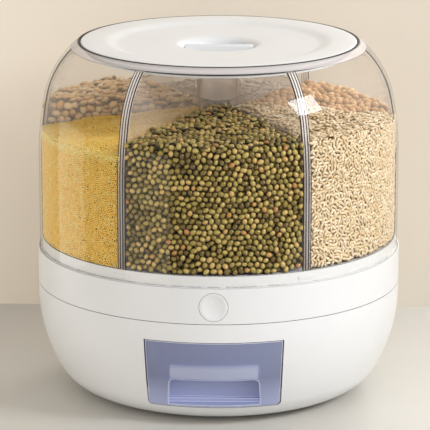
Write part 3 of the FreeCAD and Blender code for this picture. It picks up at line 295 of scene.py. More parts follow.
class Nodes:
    """Short way to a material's node tree."""

    def __init__(self, name):
        self.material = bpy.data.materials.new(name)
        self.material.use_nodes = True
        self.tree = self.material.node_tree
        self.tree.nodes.clear()
        self.output = self.add("ShaderNodeOutputMaterial")

    def add(self, kind, **settings):
        node = self.tree.nodes.new(kind)
        for key, value in settings.items():
            if key.startswith("in_"):
                node.inputs[key[3:].replace("_", " ")].default_value = value
            else:
                setattr(node, key, value)
        return node

    def link(self, source, output, target, socket):
        self.tree.links.new(source.outputs[output], target.inputs[socket])

    def finished(self, shader, output="BSDF"):
        """The material, with this shader on its surface."""
        self.link(shader, output, self.output, "Surface")
        return self.material

    def noise(self, scale, detail):
        """Noise in the object's own coordinates."""
        coordinates = self.add("ShaderNodeTexCoord")
        texture = self.add("ShaderNodeTexNoise", in_Scale=scale, in_Detail=detail)
        self.link(coordinates, "Object", texture, "Vector")
        return texture

    def between(self, source, low, high):
        """A noise carried over to a range."""
        node = self.add("ShaderNodeMapRange", in_To_Min=low, in_To_Max=high)
        self.link(source, "Fac", node, "Value")
        return node

    def bump(self, texture, strength, distance):
        """Surface raised by a noise."""
        bumped = self.add("ShaderNodeBump", in_Strength=strength, in_Distance=distance)
        self.link(texture, "Fac", bumped, "Height")
        return bumped

    def ramp(self, source, stops):
        """Colour drawn from (place, colour) stops."""
        node = self.add("ShaderNodeValToRGB")
        elements = node.color_ramp.elements
        while len(elements) < len(stops):
            elements.new(0.5)
        for element, (place, colour) in zip(elements, stops):
            element.position = place
            element.color = with_alpha(colour)
        self.link(source, "Fac", node, "Fac")
        return node

    def clouded(self, texture, colour, low_tone, places=(0.0, 1.0)):
        """A colour that a noise darkens a little, down to low_tone."""
        return self.ramp(texture, ((places[0], [c * low_tone for c in colour]), (places[1], colour)))

    def maths(self, operation, *values):
        """Two values put together, each a number or a node and its output."""
        node = self.add("ShaderNodeMath", operation=operation)
        for socket, value in enumerate(values):
            if isinstance(value, tuple):
                self.link(*value, node, socket)
            else:
                node.inputs[socket].default_value = value
        return node

    def shaded(self, source, output, factor):
        """A colour times the value of a range node."""
        node = self.add("ShaderNodeVectorMath", operation="SCALE")
        self.link(source, output, node, 0)
        self.link(factor, "Result", node, "Scale")
        return node

    def mixed(self, share, first, second):
        """Two shaders mixed by a share, each given as a node and its output."""
        mix = self.add("ShaderNodeMixShader")
        for socket, (source, output) in enumerate((share, first, second)):
            self.link(source, output, mix, socket)
        return mix

    def over(self, shader, colour, amount):
        """Lay a scattering colour over a shader."""
        scatter = self.add("ShaderNodeBsdfDiffuse", in_Color=with_alpha(colour))
        return self.mixed((amount, "Value"), (shader, "Shader"), (scatter, "BSDF"))

    def along(self, axis, places, factors):
        """Value that runs evenly between two factors from one place to another on an axis of the object."""
        coordinates = self.add("ShaderNodeTexCoord")
        place = self.add("ShaderNodeSeparateXYZ")
        self.link(coordinates, "Object", place, "Vector")
        value = self.add("ShaderNodeMapRange", in_From_Min=places[0], in_From_Max=places[1],
                         in_To_Min=factors[0], in_To_Max=factors[1])
        self.link(place, axis, value, "Value")
        return value

    def crease_shade(self, source, output, reach):
        """Painted shade: darken a colour where the surface runs into a narrow gap, as far as the ambient occlusion
        reaches.
        """
        gap = self.add("ShaderNodeAmbientOcclusion", samples=6, in_Distance=reach)
        shade = self.add("ShaderNodeMapRange", in_From_Min=0.12, in_From_Max=0.72, in_To_Min=0.04)
        self.link(gap, "AO", shade, "Value")
        return self.shaded(source, output, shade)


def with_alpha(colour):
    return (*colour, 1.0)


def moulded_plastic(name, colour, roughness, coat=0.0, bump=0.06, grain=900.0, shade_reach=3 * MM):
    """Opaque moulded plastic: a slightly uneven tone, fine moulded grain, and painted shade that darkens it where it
    runs into narrow gaps.
    """
    n = Nodes(name)
    fine = n.noise(grain, 2.0)
    tone, output = n.clouded(n.noise(18.0, 3.0), colour, 0.97, (0.3, 0.7)), "Color"
    if shade_reach:
        tone, output = n.crease_shade(tone, output, shade_reach), "Vector"
    shader = n.add("ShaderNodeBsdfPrincipled", in_Coat_Weight=coat, in_Coat_Roughness=0.12)
    n.link(tone, output, shader, "Base Color")
    n.link(n.between(fine, roughness - 0.04, roughness + 0.05), "Result", shader, "Roughness")
    n.link(n.bump(fine, bump, 0.4 * MM), "Normal", shader, "Normal")
    return n.finished(shader)


def clear_plastic(name, tint, edge, power=3.0, gloss=0.04, strength=1.0, veil=None, painted_edges=None):
    """Clear plastic seen straight through: tinted on its front, darker where it is looked along, with a gloss, and
    painted edge lines when given: a painted highlight where their colour is light, painted shade where it is dark.
    """
    n = Nodes(name)
    geometry = n.add("ShaderNodeNewGeometry")
    front = n.maths("SUBTRACT", 1.0, (geometry, "Backfacing"))
    slant = n.maths("POWER", (n.add("ShaderNodeLayerWeight", in_Blend=0.5), "Facing"), power)
    tone = n.add("ShaderNodeMix", data_type="RGBA")
    n.link(slant, "Value", tone, 0)
    tone.inputs[MIX_FIRST].default_value = with_alpha(tint)
    tone.inputs[MIX_SECOND].default_value = with_alpha(edge)
    shown = n.add("ShaderNodeMix", data_type="RGBA")
    n.link(front, "Value", shown, 0)
    shown.inputs[MIX_FIRST].default_value = (1, 1, 1, 1)
    n.link(tone, MIX_RESULT, shown, MIX_SECOND)
    through = n.add("ShaderNodeBsdfTransparent")
    n.link(shown, MIX_RESULT, through, "Color")
    shine = n.add("ShaderNodeBsdfGlossy", in_Roughness=gloss)
    n.link(n.bump(n.noise(35.0, 2.0), 0.05, 0.5 * MM), "Normal", shine, "Normal")
    fresnel = n.maths("MULTIPLY", (n.add("ShaderNodeFresnel", in_IOR=1.45), "Fac"), strength)
    capped = n.maths("MINIMUM", (fresnel, "Value"), MIRROR_CAP)
    mirrored = n.maths("MULTIPLY", (capped, "Value"), (front, "Value"))
    surface = n.mixed((mirrored, "Value"), (through, "BSDF"), (shine, "BSDF"))
    if veil:
        share = n.maths("MULTIPLY", (front, "Value"), veil.share)
        if veil.heights:
            rise = n.along("Z", veil.heights, (veil.factor, 1.0))
            share = n.maths("MULTIPLY", (rise, "Result"), (share, "Value"))
        surface = n.over(surface, veil.colour, share)
    # Painted edge lines: a colour laid along the edges, a painted highlight where it is light and painted shade where
    # it is dark
    if painted_edges:
        rounded = n.add("ShaderNodeBevel", samples=6, in_Radius=painted_edges.width)
        agree = n.add("ShaderNodeVectorMath", operation="DOT_PRODUCT")
        n.link(rounded, "Normal", agree, 0)
        n.link(geometry, "True Normal", agree, 1)
        near = n.add("ShaderNodeMapRange", in_From_Min=0.995, in_From_Max=0.94, in_To_Max=painted_edges.strength)
        n.link(agree, "Value", near, "Value")
        surface = n.over(surface, painted_edges.colour, n.maths("MULTIPLY", (near, "Result"), (front, "Value")))
    path = n.add("ShaderNodeLightPath")
    unshaded = n.add("ShaderNodeBsdfTransparent")
    lit = n.mixed((path, "Is Shadow Ray"), (surface, "Shader"), (unshaded, "BSDF"))
    return n.finished(lit, "Shader")


def steel(name):
    """Bare steel with fine scratches."""
    n = Nodes(name)
    shader = n.add("ShaderNodeBsdfPrincipled", in_Metallic=1.0, in_Base_Color=(0.62, 0.63, 0.65, 1))
    n.link(n.between(n.noise(600.0, 3.0), 0.25, 0.42), "Result", shader, "Roughness")
    return n.finished(shader)


def grain_skin(name, tones, roughness, outline, coat=0.0):
    """Skin of a grain: its tone by the grain_tone attribute, with painted shade on the side of each grain that faces
    into the heap and painted light on the side that faces out and up; outline sets how dark the painted shade goes.
    """
    n = Nodes(name)
    stops = [(place, srgb(*colour)) for place, colour in tones]
    tone = n.ramp(n.add("ShaderNodeAttribute", attribute_name="grain_tone"), stops)
    mottle = n.noise(900.0, 2.0)
    mottled = n.shaded(tone, "Color", n.between(mottle, 0.82, 1.12))
    reach = n.add("ShaderNodeAttribute", attribute_name="grain_painted_shade")
    rim = n.add("ShaderNodeMapRange", in_From_Min=-0.1, in_From_Max=0.85,
                in_To_Min=1.0 - outline, in_To_Max=1.15)
    n.link(reach, "Fac", rim, "Value")
    shader = n.add("ShaderNodeBsdfPrincipled", in_Roughness=roughness, in_Coat_Weight=coat,
                   in_Coat_Roughness=0.15)
    n.link(n.shaded(mottled, "Vector", rim), "Vector", shader, "Base Color")
    n.link(n.bump(mottle, 0.2, 0.2 * MM), "Normal", shader, "Normal")
    return n.finished(shader)


def dress(piece, material, body=None):
    piece.data.materials.clear()
    piece.data.materials.append(material)
    if body:
        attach(piece, body)


# Grain

# Height of the ripples on a heap, how far down its sides are laid, and the body under it: faces in and across,
# depth, and how much higher its foot is at the hub
RIPPLE = 0.8 * MM
SIDE_DEPTH = 30 * MM
CORE_GRID = (14, 10)
CORE_DEPTH, CORE_RISE = 30 * MM, 27 * MM
# Layout of the points: rows per pitch of a hexagonal pattern, how far each is shaken, rounds of relaxing, how
# hard they push and how many neighbours in x order each one looks at
HEX_ROW = 0.866
SHAKE = 0.3
ROUNDS = 16
PUSH = 0.28
NEIGHBOURS = 160
# How densely the points start out, on upright faces and on top
UPRIGHT_FILL, TOP_FILL = 1.04, 1.08
# How deep the two layers on top are sunk, in grains, and how far apart the layers at the wall are, in steps
TOP_SINKS = (0.15, 0.75)
LAYER_STEP = 0.72


class Heap:
    """One compartment's fill: the angle of its middle in degrees, its heights at the wall's two ends and at the
    hub and its crown in mm, and how strongly its grains are painted pale along the top edge at the wall, a painted
    highlight."""

    def __init__(self, middle, wall_left, wall_right, hub, crown, highlight_share=0.0):
        self.middle, self.highlight_share = math.radians(middle), highlight_share
        self.left, self.right, self.hub, self.crown = (v * MM for v in (wall_left, wall_right, hub, crown))

    def height(self, r, a):
        """Height of the top at radius r and angle a from the sector's middle."""
        t = a / SECTOR + 0.5
        wall = self.left + (self.right - self.left) * t
        inward = 1 - r / GRAIN_R
        dome = self.crown * (1 - (2 * t - 1) ** 2) * 4 * inward * (1 - inward)
        ripple = RIPPLE * (math.sin(r * 130 + 3 * t) + math.sin(r * 61 + 17 * t))
        return wall + (self.hub - wall) * inward ** 0.9 + dome + ripple

    def heights(self, radii, angles):
        return np.array([self.height(r, a) for r, a in np.broadcast(radii, angles)])


def relaxed(points, reach, box):
    """Push points apart until they lie about reach from each other, inside a box."""
    for _ in range(ROUNDS):
        order = np.argsort(points[:, 0])
        points = points[order]
        push = np.zeros_like(points)
        for shift in range(1, NEIGHBOURS):
            d = points[shift:] - points[:-shift]
            near = d[:, 0] < reach
            if not near.any():
                break
            length = np.hypot(d[:, 0], d[:, 1]) + 1e-9
            force = np.where(near & (length < reach), (reach - length) / length * PUSH, 0)[:, None] * d
            push[shift:] += force
            push[:-shift] -= force
        points = np.clip(points + push, box[0], box[1])
    return points


def scattered(draw, width, height, reach, fill):
    """Points about reach apart all over a rectangle, shaken out of even rows."""
    pitch = reach / math.sqrt(fill)
    columns = max(1, round(width / pitch))
    rows = max(1, round(height / (pitch * HEX_ROW)))
    row, column = np.divmod(np.arange(columns * rows), columns)
    points = np.stack([(column + 0.25 + 0.5 * (row % 2)) * width / columns, (row + 0.5) * height / rows], axis=1)
    points += draw.normal(scale=SHAKE * pitch, size=points.shape)
    return relaxed(points, reach, ((0, 0), (width, height)))


def turned_basis(draw, count, normal, flatness):
    """Random right-handed bases whose long axis lies mostly across the normals."""
    long_axis = draw.normal(size=(count, 3))
    long_axis -= flatness * (long_axis * normal).sum(1, keepdims=True) * normal
    long_axis /= np.linalg.norm(long_axis, axis=1, keepdims=True)
    second = np.cross(normal + 0.25 * draw.normal(size=(count, 3)), long_axis)
    second /= np.linalg.norm(second, axis=1, keepdims=True)
    return np.stack([long_axis, second, np.cross(long_axis, second)], axis=2)


def grain_template(name, length, width, depth, segments, rings):
    """One grain, a stretched ball with a few dozen faces, its long axis on X."""
    deselect_all()
    bpy.ops.mesh.primitive_uv_sphere_add(segments=segments, ring_count=rings, radius=0.5)
    piece = bpy.context.object
    piece.name = name
    bpy.ops.object.mode_set(mode="EDIT")
    bpy.ops.transform.resize(value=(depth, width, length))
    bpy.ops.mesh.quads_convert_to_tris()
    bpy.ops.object.mode_set(mode="OBJECT")
    piece.data.transform(Matrix.Rotation(math.pi / 2, 4, "Y"))
    return piece


def triangles_mesh(name, points, faces):
    """Smooth mesh of points and the indices of its triangles' corners, one after another."""
    mesh = bpy.data.meshes.new(name)
    mesh.vertices.add(len(points))
    mesh.vertices.foreach_set("co", points.ravel())
    mesh.loops.add(len(faces))
    mesh.loops.foreach_set("vertex_index", faces)
    mesh.polygons.add(len(faces) // 3)
    mesh.polygons.foreach_set("loop_start", np.arange(0, len(faces), 3))
    mesh.update(calc_edges=True)
    mesh.polygons.foreach_set("use_smooth", np.ones(len(faces) // 3, dtype=bool))
    return mesh


def store(mesh, name, values):
    """Keep a number for each point as an attribute."""
    mesh.attributes.new(name, "FLOAT", "POINT").data.foreach_set("value", values.astype(np.float32))


def pile(name, template, places, normals, bases, sizes, tones):
    """One mesh of a grain copied to each place, with a value for each point of how far it faces out of the heap and
    up, which the skin turns into painted light and shade.
    """
    count = len(template.data.vertices)
    shape = np.zeros(count * 3)
    template.data.vertices.foreach_get("co", shape)
    index = np.zeros(len(template.data.polygons) * 3, dtype=np.int32)
    template.data.polygons.foreach_get("vertices", index)
    offsets = np.einsum("nij,vj->nvi", bases, shape.reshape(-1, 3))
    points = offsets * sizes[:, None, None] + places[:, None, :]
    # Direction of the painted light on each grain: out of the heap and a little up
    lit_side = normals + (0, 0, 0.5)
    lit_side /= np.linalg.norm(lit_side, axis=1, keepdims=True)
    reach = np.einsum("nvi,ni->nv", offsets, lit_side)
    reach /= np.abs(reach).max(axis=1, keepdims=True)
    faces = (index[None, :] + (np.arange(len(places)) * count)[:, None]).ravel()
    mesh = triangles_mesh(name, points.reshape(-1, 3), faces)
    store(mesh, "grain_tone", np.repeat(tones, count))
    store(mesh, "grain_painted_shade", reach.ravel())
    bpy.data.objects.remove(template)
    piece = bpy.data.objects.new(name, mesh)
    bpy.context.scene.collection.objects.link(piece)
    return piece


def wall_spots(heap, draw, size, shape, step, layers):
    """Places and outward normals of grains in layers behind the clear wall."""
    places, normals = [], []
    clear = 0.45 * size
    span = SECTOR - 2 * (FIN_CLEAR + clear) / GRAIN_R
    for layer in range(layers):
        r = GRAIN_R - size * shape[2] / 2 - layer * step * LAYER_STEP
        tall = max(heap.left, heap.right) + 4 * MM - BAND_TOP
        spots = scattered(draw, span * r, tall, step, UPRIGHT_FILL)
        a = spots[:, 0] / r - span / 2
        z = BAND_TOP + clear + spots[:, 1]
        keep = z < heap.heights(r, a) - 0.2 * size
        a, z = a[keep], z[keep]
        near = r + np.minimum(0, draw.normal(scale=0.06 * size, size=len(a)))
        places.append(np.stack([np.cos(a) * near, np.sin(a) * near, z], axis=1))
        normals.append(np.stack([np.cos(a), np.sin(a), np.zeros_like(a)], axis=1))
    return np.concatenate(places), np.concatenate(normals)


def fin_spots(heap, draw, size, step):
    """Places and normals of grains against the two fins, down to where the next heap hides them."""
    end, half = 0.6 * size, 0.5 * size
    low, across = HUB_CLEAR + end, FIN_CLEAR + half
    cos, sin = math.cos(SECTOR / 2), math.sin(SECTOR / 2)
    places, normals = [], []
    for side in (-1, 1):
        spots = scattered(draw, GRAIN_R - end - low, SIDE_DEPTH, step, UPRIGHT_FILL)
        along = low + spots[:, 0]
        x = along * cos + across * sin
        y = side * (along * sin - across * cos)
        r = np.hypot(x, y)
        z = heap.heights(r, np.arctan2(y, x)) - half - spots[:, 1]
        places.append(np.stack([x, y, z], axis=1)[r < GRAIN_R - end])
        normals.append(np.tile((-sin, side * cos, 0.0), (len(places[-1]), 1)))
    return np.concatenate(places), np.concatenate(normals)


def top_spots(heap, draw, size, step):
    """Places and normals of grains over the top of a heap, in two layers."""
    places = []
    half = 0.5 * size
    reach_y = GRAIN_R * math.sin(SECTOR / 2)
    for sink in TOP_SINKS:
        spots = scattered(draw, GRAIN_R, 2 * reach_y, step, TOP_FILL)
        x, y = spots[:, 0], spots[:, 1] - reach_y
        r, a = np.hypot(x, y), np.arctan2(y, x)
        side = r * np.sin(SECTOR / 2 - np.abs(a))
        keep = (r < GRAIN_R - half) & (r > HUB_CLEAR + half) & (side > FIN_CLEAR + half)
        x, y, r, a = x[keep], y[keep], r[keep], a[keep]
        z = heap.heights(r, a) + draw.normal(scale=0.12 * size, size=len(r)) - sink * size
        places.append(np.stack([x, y, z], axis=1))
    places = np.concatenate(places)
    return places, np.tile((0.0, 0.0, 1.0), (len(places), 1))


def painted_edge_highlight(heap, places):
    """Share by which grains are painted pale near the heap's edge at the wall, a painted highlight."""
    in_reach = (np.hypot(places[:, 0], places[:, 1]) - GRAIN_R) ** 2 / (14 * MM) ** 2
    in_height = (places[:, 2] - heap.left) ** 2 / (5 * MM) ** 2
    return heap.highlight_share * np.exp(-in_reach - in_height)


def fill_compartment(name, heap, draw, size, shape, layers, flatness, reach, faces):
    """Grains against the wall, over the top and along the fins, as three pieces."""
    length, width, depth = shape
    step = reach * size * math.sqrt(width * length)
    parts = {
        "wall": wall_spots(heap, draw, size, shape, step, layers),
        "top": top_spots(heap, draw, size, step),
        "sides": fin_spots(heap, draw, size, step),
    }
    pieces = []
    for part, (places, normals) in parts.items():
        bases = turned_basis(draw, len(places), normals, flatness)
        sizes = size * draw.normal(1.0, 0.06, size=len(places)).clip(0.85, 1.15)
        template = grain_template(name + "_one", length, width, depth, *faces)
        # Painted highlight: grains near the heap's top edge at the wall are drawn towards the palest tone
        edge = painted_edge_highlight(heap, places)
        tones = np.clip(draw.random(len(places)) * (1 - edge) + edge, 0, 1)
        piece = pile(name + "_" + part, template, places, normals, bases, sizes, tones)
        turn(piece, heap.middle)
        pieces.append(piece)
    return pieces


def heap_core(name, heap, size):
    """Solid body of the heap, one grain behind its face, so that nothing shows through the gaps."""
    inset = 0.95 * size
    r_in, r_out = HUB_CLEAR + 0.3 * size, GRAIN_R - 1.25 * size
    deselect_all()
    bpy.ops.mesh.primitive_grid_add(x_subdivisions=CORE_GRID[0], y_subdivisions=CORE_GRID[1], size=1)
    piece = bpy.context.object
    piece.name = piece.data.name = name
    for vertex in piece.data.vertices:
        share_r, share_a = vertex.co.x + 0.5, vertex.co.y * 2
        r = r_in + share_r * (r_out - r_in)
        edge = SECTOR / 2 - math.asin(min(0.49, (FIN_CLEAR + 0.7 * size) / r))
        a = share_a * max(edge, 0.02)
        vertex.co = (r * math.cos(a), r * math.sin(a), heap.height(r, a) - inset)
    bpy.ops.object.mode_set(mode="EDIT")
    bpy.ops.mesh.select_all(action="SELECT")
    bpy.ops.mesh.extrude_region_move(TRANSFORM_OT_translate={"value": (0, 0, -CORE_DEPTH)})
    bpy.ops.object.mode_set(mode="OBJECT")
    low = BAND_TOP + 0.4 * MM
    for vertex in piece.data.vertices:
        if vertex.select:
            r = math.hypot(vertex.co.x, vertex.co.y)
            share = (r - HUB_CLEAR) / (GRAIN_R - HUB_CLEAR)
            vertex.co.z = low + (1 - share) * CORE_RISE
    bpy.ops.object.mode_set(mode="EDIT")
    finish_mesh()
    turn(piece, heap.middle)
    smooth(piece, 40)
    return piece


HEAPS = {
    "green_beans": Heap(-90, 247.5, 250.5, 257.5, 2.0),
    "brown_rice": Heap(-30, 250.0, 246.0, 256.0, 2.0),
    "chickpeas": Heap(30, 241.0, 248.0, 247.0, 2.0),
    "white_rice": Heap(90, 243.0, 243.0, 254.0, 2.0),
    "brown_beans": Heap(150, 251.0, 256.0, 252.0, 3.0),
    "millet": Heap(-150, 233.0, 237.0, 255.0, 0.0, 0.9),
}
# Skin of each grain: its material's name, its tones as places and screen colours, roughness, outline (how dark the
# painted shade on each grain goes) and coat
SKINS = {
    "green_beans": ("green_bean_skin", ((0.0, (100, 80, 34)), (0.3, (146, 124, 52)), (0.75, (186, 164, 88)),
        (0.95, (208, 172, 100)), (1.0, (184, 126, 66))), 0.3, 0.92, 0.6),
    "millet": ("millet_skin", ((0.0, (255, 204, 88)), (0.9, (255, 222, 116)), (1.0, (255, 238, 164))), 0.5, 0.2),
    "brown_rice": ("brown_rice_skin", ((0.0, (228, 200, 156)), (0.5, (242, 216, 176)),
        (1.0, (250, 232, 200))), 0.45, 0.34),
    "brown_beans": ("brown_bean_skin", ((0.0, (240, 188, 122)), (0.6, (255, 216, 152)),
        (1.0, (255, 232, 184))), 0.4, 0.8),
    "chickpeas": ("chickpea_skin", ((0.0, (204, 150, 88)), (0.6, (226, 176, 112)),
        (1.0, (242, 200, 142))), 0.5, 0.8),
    "white_rice": ("white_rice_skin", ((0.0, (222, 216, 204)), (1.0, (244, 240, 230))), 0.4, 0.3),
}
# Painted shade between the grains: the dark colour of the heap's body seen through the gaps, standing for the shade
# deeper in the heap
GAP_SHADES = {
    "green_beans": srgb(18, 12, 4), "millet": srgb(140, 90, 26), "brown_rice": srgb(70, 46, 22),
    "brown_beans": srgb(70, 48, 30), "chickpeas": srgb(120, 80, 50), "white_rice": srgb(190, 184, 172),
}
# Layout of each grain: its size among the properties, proportions, layers at the wall, how flat the grains lie,
# spacing, and segments and rings of one grain
PLANS = {
    "green_beans": ("green_bean", (1.0, 0.8, 0.78), 2, 0.7, 1.0, (8, 6)),
    "millet": ("millet", (1.0, 0.92, 0.9), 1, 0.4, 0.94, (5, 3)),
    "brown_rice": ("rice", (1.0, 0.46, 0.36), 2, 0.95, 0.78, (5, 4)),
    "brown_beans": ("brown_bean", (1.0, 0.72, 0.5), 1, 0.7, 0.85, (8, 6)),
    "chickpeas": ("chickpea", (1.0, 0.9, 0.88), 1, 0.4, 0.9, (8, 6)),
    "white_rice": ("white_rice", (1.0, 0.36, 0.32), 1, 0.9, 0.86, (4, 4)),
}


# Studio: the table and the wall are large squares, and a lamp is a rectangle given by its place, the point that
# it faces, its width and height, its watts and its colour

PLANE_SIZE = 8
TABLE_EDGE = -0.56
TABLE_MIDDLE = TABLE_EDGE + PLANE_SIZE / 2
TABLE_DROP = 0.2 * MM
PAINT_CLOUD = 0.985
LAMPS = {
    "key": ((1.27, -0.66, 1.0), (0.07, -0.13, 0.27), (0.5, 0.48), 14.6, (0.98, 1.0, 1.02)),
    "back": ((0.5, 1.1, 0.5), (0, 0, 0.25), (0.5, 0.4), 6.0, (1.0, 0.98, 0.95)),
    "front_fill": ((0.35, -2.2, 0.45), (0, 0, 0.15), (0.9, 0.6), 4.2, (1.0, 1.0, 1.0)),
    "left_card": ((-0.391, -0.493, 0.12), (-0.05, -0.14, 0.12), (0.30, 0.24), 0.28, (1.0, 0.93, 0.78)),
    "side_card": ((-0.58, 0.04, 0.12), (-0.12, -0.1, 0.12), (0.26, 0.24), 0.26, (1.0, 0.96, 0.9)),
}
# The light from all round: its colour, its strength, and its strength as glossy surfaces mirror it
WORLD_COLOUR = (1.01, 0.985, 0.975)
WORLD_STRENGTH, WORLD_MIRRORED = 0.62, 0.18
# The camera fitted to the photograph: metres, degrees, and pixels of the picture's width
CAMERA_SPOT = (-0.0032, -2.501, 0.778)
CAMERA_AZIMUTH, CAMERA_TILT = 1.6, 14.04
FOCAL_PIXELS, PHOTO_WIDTH, SENSOR_WIDTH = 2903, 430, 36
# How many clear faces a ray may pass
CLEAR_BOUNCES = 40


class KEEPER_OT_studio(Operator):
    """Table, wall, lamps and camera"""
    bl_idname = "keeper.studio"
    bl_label = "Studio"

    def execute(self, context):
        studio = context.scene.keeper_studio
        table = square("table_top", table_paint("table_paint", studio.floor), (0, TABLE_MIDDLE, -TABLE_DROP))
        wall = square("room_wall", one_sided_wall("wall_paint", studio.wall), (0, studio.wall_y, 0), math.pi / 2)
        light_world(context)
        for name, settings in LAMPS.items():
            add_lamp(name, *settings)
        bpy.data.objects["front_fill"].visible_glossy = False
        place_camera(context)
        context.scene.view_settings.view_transform = "Standard"
        context.scene.cycles.transparent_max_bounces = CLEAR_BOUNCES
        return {"FINISHED"}


def square(name, paint, place, tilt=0.0):
    """Large painted square, tilted up about X."""
    deselect_all()
    bpy.ops.mesh.primitive_plane_add(size=PLANE_SIZE, location=place, rotation=(tilt, 0, 0))
    plane = bpy.context.object
    plane.name = name
    plane.data.materials.append(paint)
    return plane


def table_paint(name, colour):
    """Matt table paint with painted shade that darkens it towards the wall, faint clouding and a fine bump."""
    n = Nodes(name)
    cloud = n.noise(60.0, 3.0)
    painted_shading = n.along("Y", (-0.08 - TABLE_MIDDLE, 0.23 - TABLE_MIDDLE), (1.0, 0.78))
    shaded_paint = n.shaded(n.clouded(cloud, colour, PAINT_CLOUD), "Color", painted_shading)
    paint = n.add("ShaderNodeBsdfPrincipled", in_Roughness=0.6)
    n.link(shaded_paint, "Vector", paint, "Base Color")
    n.link(n.bump(cloud, 0.02, 0.5 * MM), "Normal", paint, "Normal")
    return n.finished(paint)


def one_sided_wall(name, colour):
    """Painted wall with painted light and shade, lighter to the left and darker to the right, that can't be seen from
    behind and lets the back lamp through.
    """
    n = Nodes(name)
    painted_shading = n.along("X", (-0.22, 0.22), (1.1, 0.9))
    shaded_paint = n.shaded(n.clouded(n.noise(3.0, 4.0), colour, PAINT_CLOUD), "Color", painted_shading)
    paint = n.add("ShaderNodeBsdfDiffuse")
    n.link(shaded_paint, "Vector", paint, "Color")
    clear = n.add("ShaderNodeBsdfTransparent")
    geometry, path = n.add("ShaderNodeNewGeometry"), n.add("ShaderNodeLightPath")
    gone = n.maths("MAXIMUM", (geometry, "Backfacing"), (path, "Is Shadow Ray"))
    return n.finished(n.mixed((gone, "Value"), (paint, "BSDF"), (clear, "BSDF")), "Shader")


def light_world(context):
    """Even light from all round, weaker where glossy surfaces mirror it."""
    world = bpy.data.worlds.new("studio_light")
    context.scene.world = world
    world.use_nodes = True
    tree = world.node_tree
    background = tree.nodes["Background"]
    background.inputs["Color"].default_value = with_alpha(WORLD_COLOUR)
    path = tree.nodes.new("ShaderNodeLightPath")
    strength = tree.nodes.new("ShaderNodeMapRange")
    strength.inputs["To Min"].default_value = WORLD_STRENGTH
    strength.inputs["To Max"].default_value = WORLD_MIRRORED
    tree.links.new(path.outputs["Is Glossy Ray"], strength.inputs["Value"])
    tree.links.new(strength.outputs["Result"], background.inputs["Strength"])


def add_lamp(name, place, target, size, power, colour):
    data = bpy.data.lights.new(name, "AREA")
    data.shape, data.size, data.size_y = "RECTANGLE", size[0], size[1]
    data.energy, data.color = power, colour
    lamp = bpy.data.objects.new(name, data)
    lamp.visible_camera = False
    lamp.location = place
    lamp.rotation_euler = (Vector(target) - Vector(place)).to_track_quat("-Z", "Y").to_euler()
    bpy.context.scene.collection.objects.link(lamp)


def place_camera(context):
    azimuth = math.radians(CAMERA_AZIMUTH)
    data = bpy.data.cameras.new("photo_view")
    data.sensor_width = SENSOR_WIDTH
    data.lens = SENSOR_WIDTH * FOCAL_PIXELS / PHOTO_WIDTH
    camera = bpy.data.objects.new("photo_view", data)
    camera.location = Matrix.Rotation(azimuth, 4, "Z") @ Vector(CAMERA_SPOT)
    camera.rotation_euler = (math.radians(90 - CAMERA_TILT), 0, azimuth)
    context.scene.collection.objects.link(camera)
    context.scene.camera = camera


class KEEPER_OT_casing(Operator):
    """Finishes of the base, the tray and the pieces inside"""
    bl_idname = "keeper.casing"
    bl_label = "Casing finishes"

    def execute(self, context):
        f = context.scene.keeper_finishes
        hoppers = [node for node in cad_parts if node.startswith("floor_hopper")]
        finishes = (
            (moulded_plastic("white_casing", f.casing, 0.30, coat=0.15), ("lower_shell", "upper_ring")),
            (moulded_plastic("white_button", f.casing, 0.26, coat=0.2), ("push_button",)),
            (moulded_plastic("inner_casing", srgb(222, 224, 228), 0.45), ("drawer_bay", "outlet_chute")),
            (moulded_plastic("white_tray", f.tray, 0.35, shade_reach=None), hoppers + ["floor_tray"]),
            (moulded_plastic("shutter_plastic", srgb(214, 216, 218), 0.4), ("gate_slider",)),
            (moulded_plastic("bearing_plastic", srgb(215, 214, 208), 0.4), ("roller_cage", "rollers")),
            (moulded_plastic("shaft_plastic", srgb(205, 208, 212), 0.3), ("spindle",)),
            (moulded_plastic("foot_rubber", srgb(70, 70, 73), 0.8, bump=0.2), ("rubber_feet",)),
            (moulded_plastic("seal_silicone", srgb(60, 60, 62), 0.6, shade_reach=None), ("outlet_seals", "lid_seal")),
            (steel("screw_steel"), ("spindle_washer", "spindle_screw", "base_screws", "chute_screws",
                                    "bay_screws", "gate_screws", "return_spring")),
        )
        for material, nodes in finishes:
            for node in nodes:
                dress(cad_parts[node], material)
        return {"FINISHED"}


class KEEPER_OT_drum_wall(Operator):
    """Clear bell of the drum, and the white band of its tray behind the wall's foot"""
    bl_idname = "keeper.drum_wall"
    bl_label = "Drum wall"

    def execute(self, context):
        f = context.scene.keeper_finishes
        top = NECK_LOW - 0.2 * MM
        outer = bell_points(0, SHELL_FOOT, top, 2)
        inner = bell_points(WALL, SHELL_FOOT, top, 2)
        wall = lathe("drum_wall", outer + inner[::-1] + outer[:1], DRUM_STEPS)
        smooth(wall, 40)
        dress(wall, clear_plastic("clear_wall", f.clear, srgb(190, 182, 176), power=12.0), "drum")
        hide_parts("drum_shell")
        inside, thickness = DRUM_R - WALL - 0.15 * MM, 0.8 * MM
        section = square_ring(inside - thickness, inside, SHELL_FOOT + 0.4 * MM, BAND_TOP)
        band = lathe("tray_band", section, DRUM_STEPS)
        smooth(band, 30)
        dress(band, moulded_plastic("white_band", f.tray, 0.4, shade_reach=None), "drum")
        return {"FINISHED"}


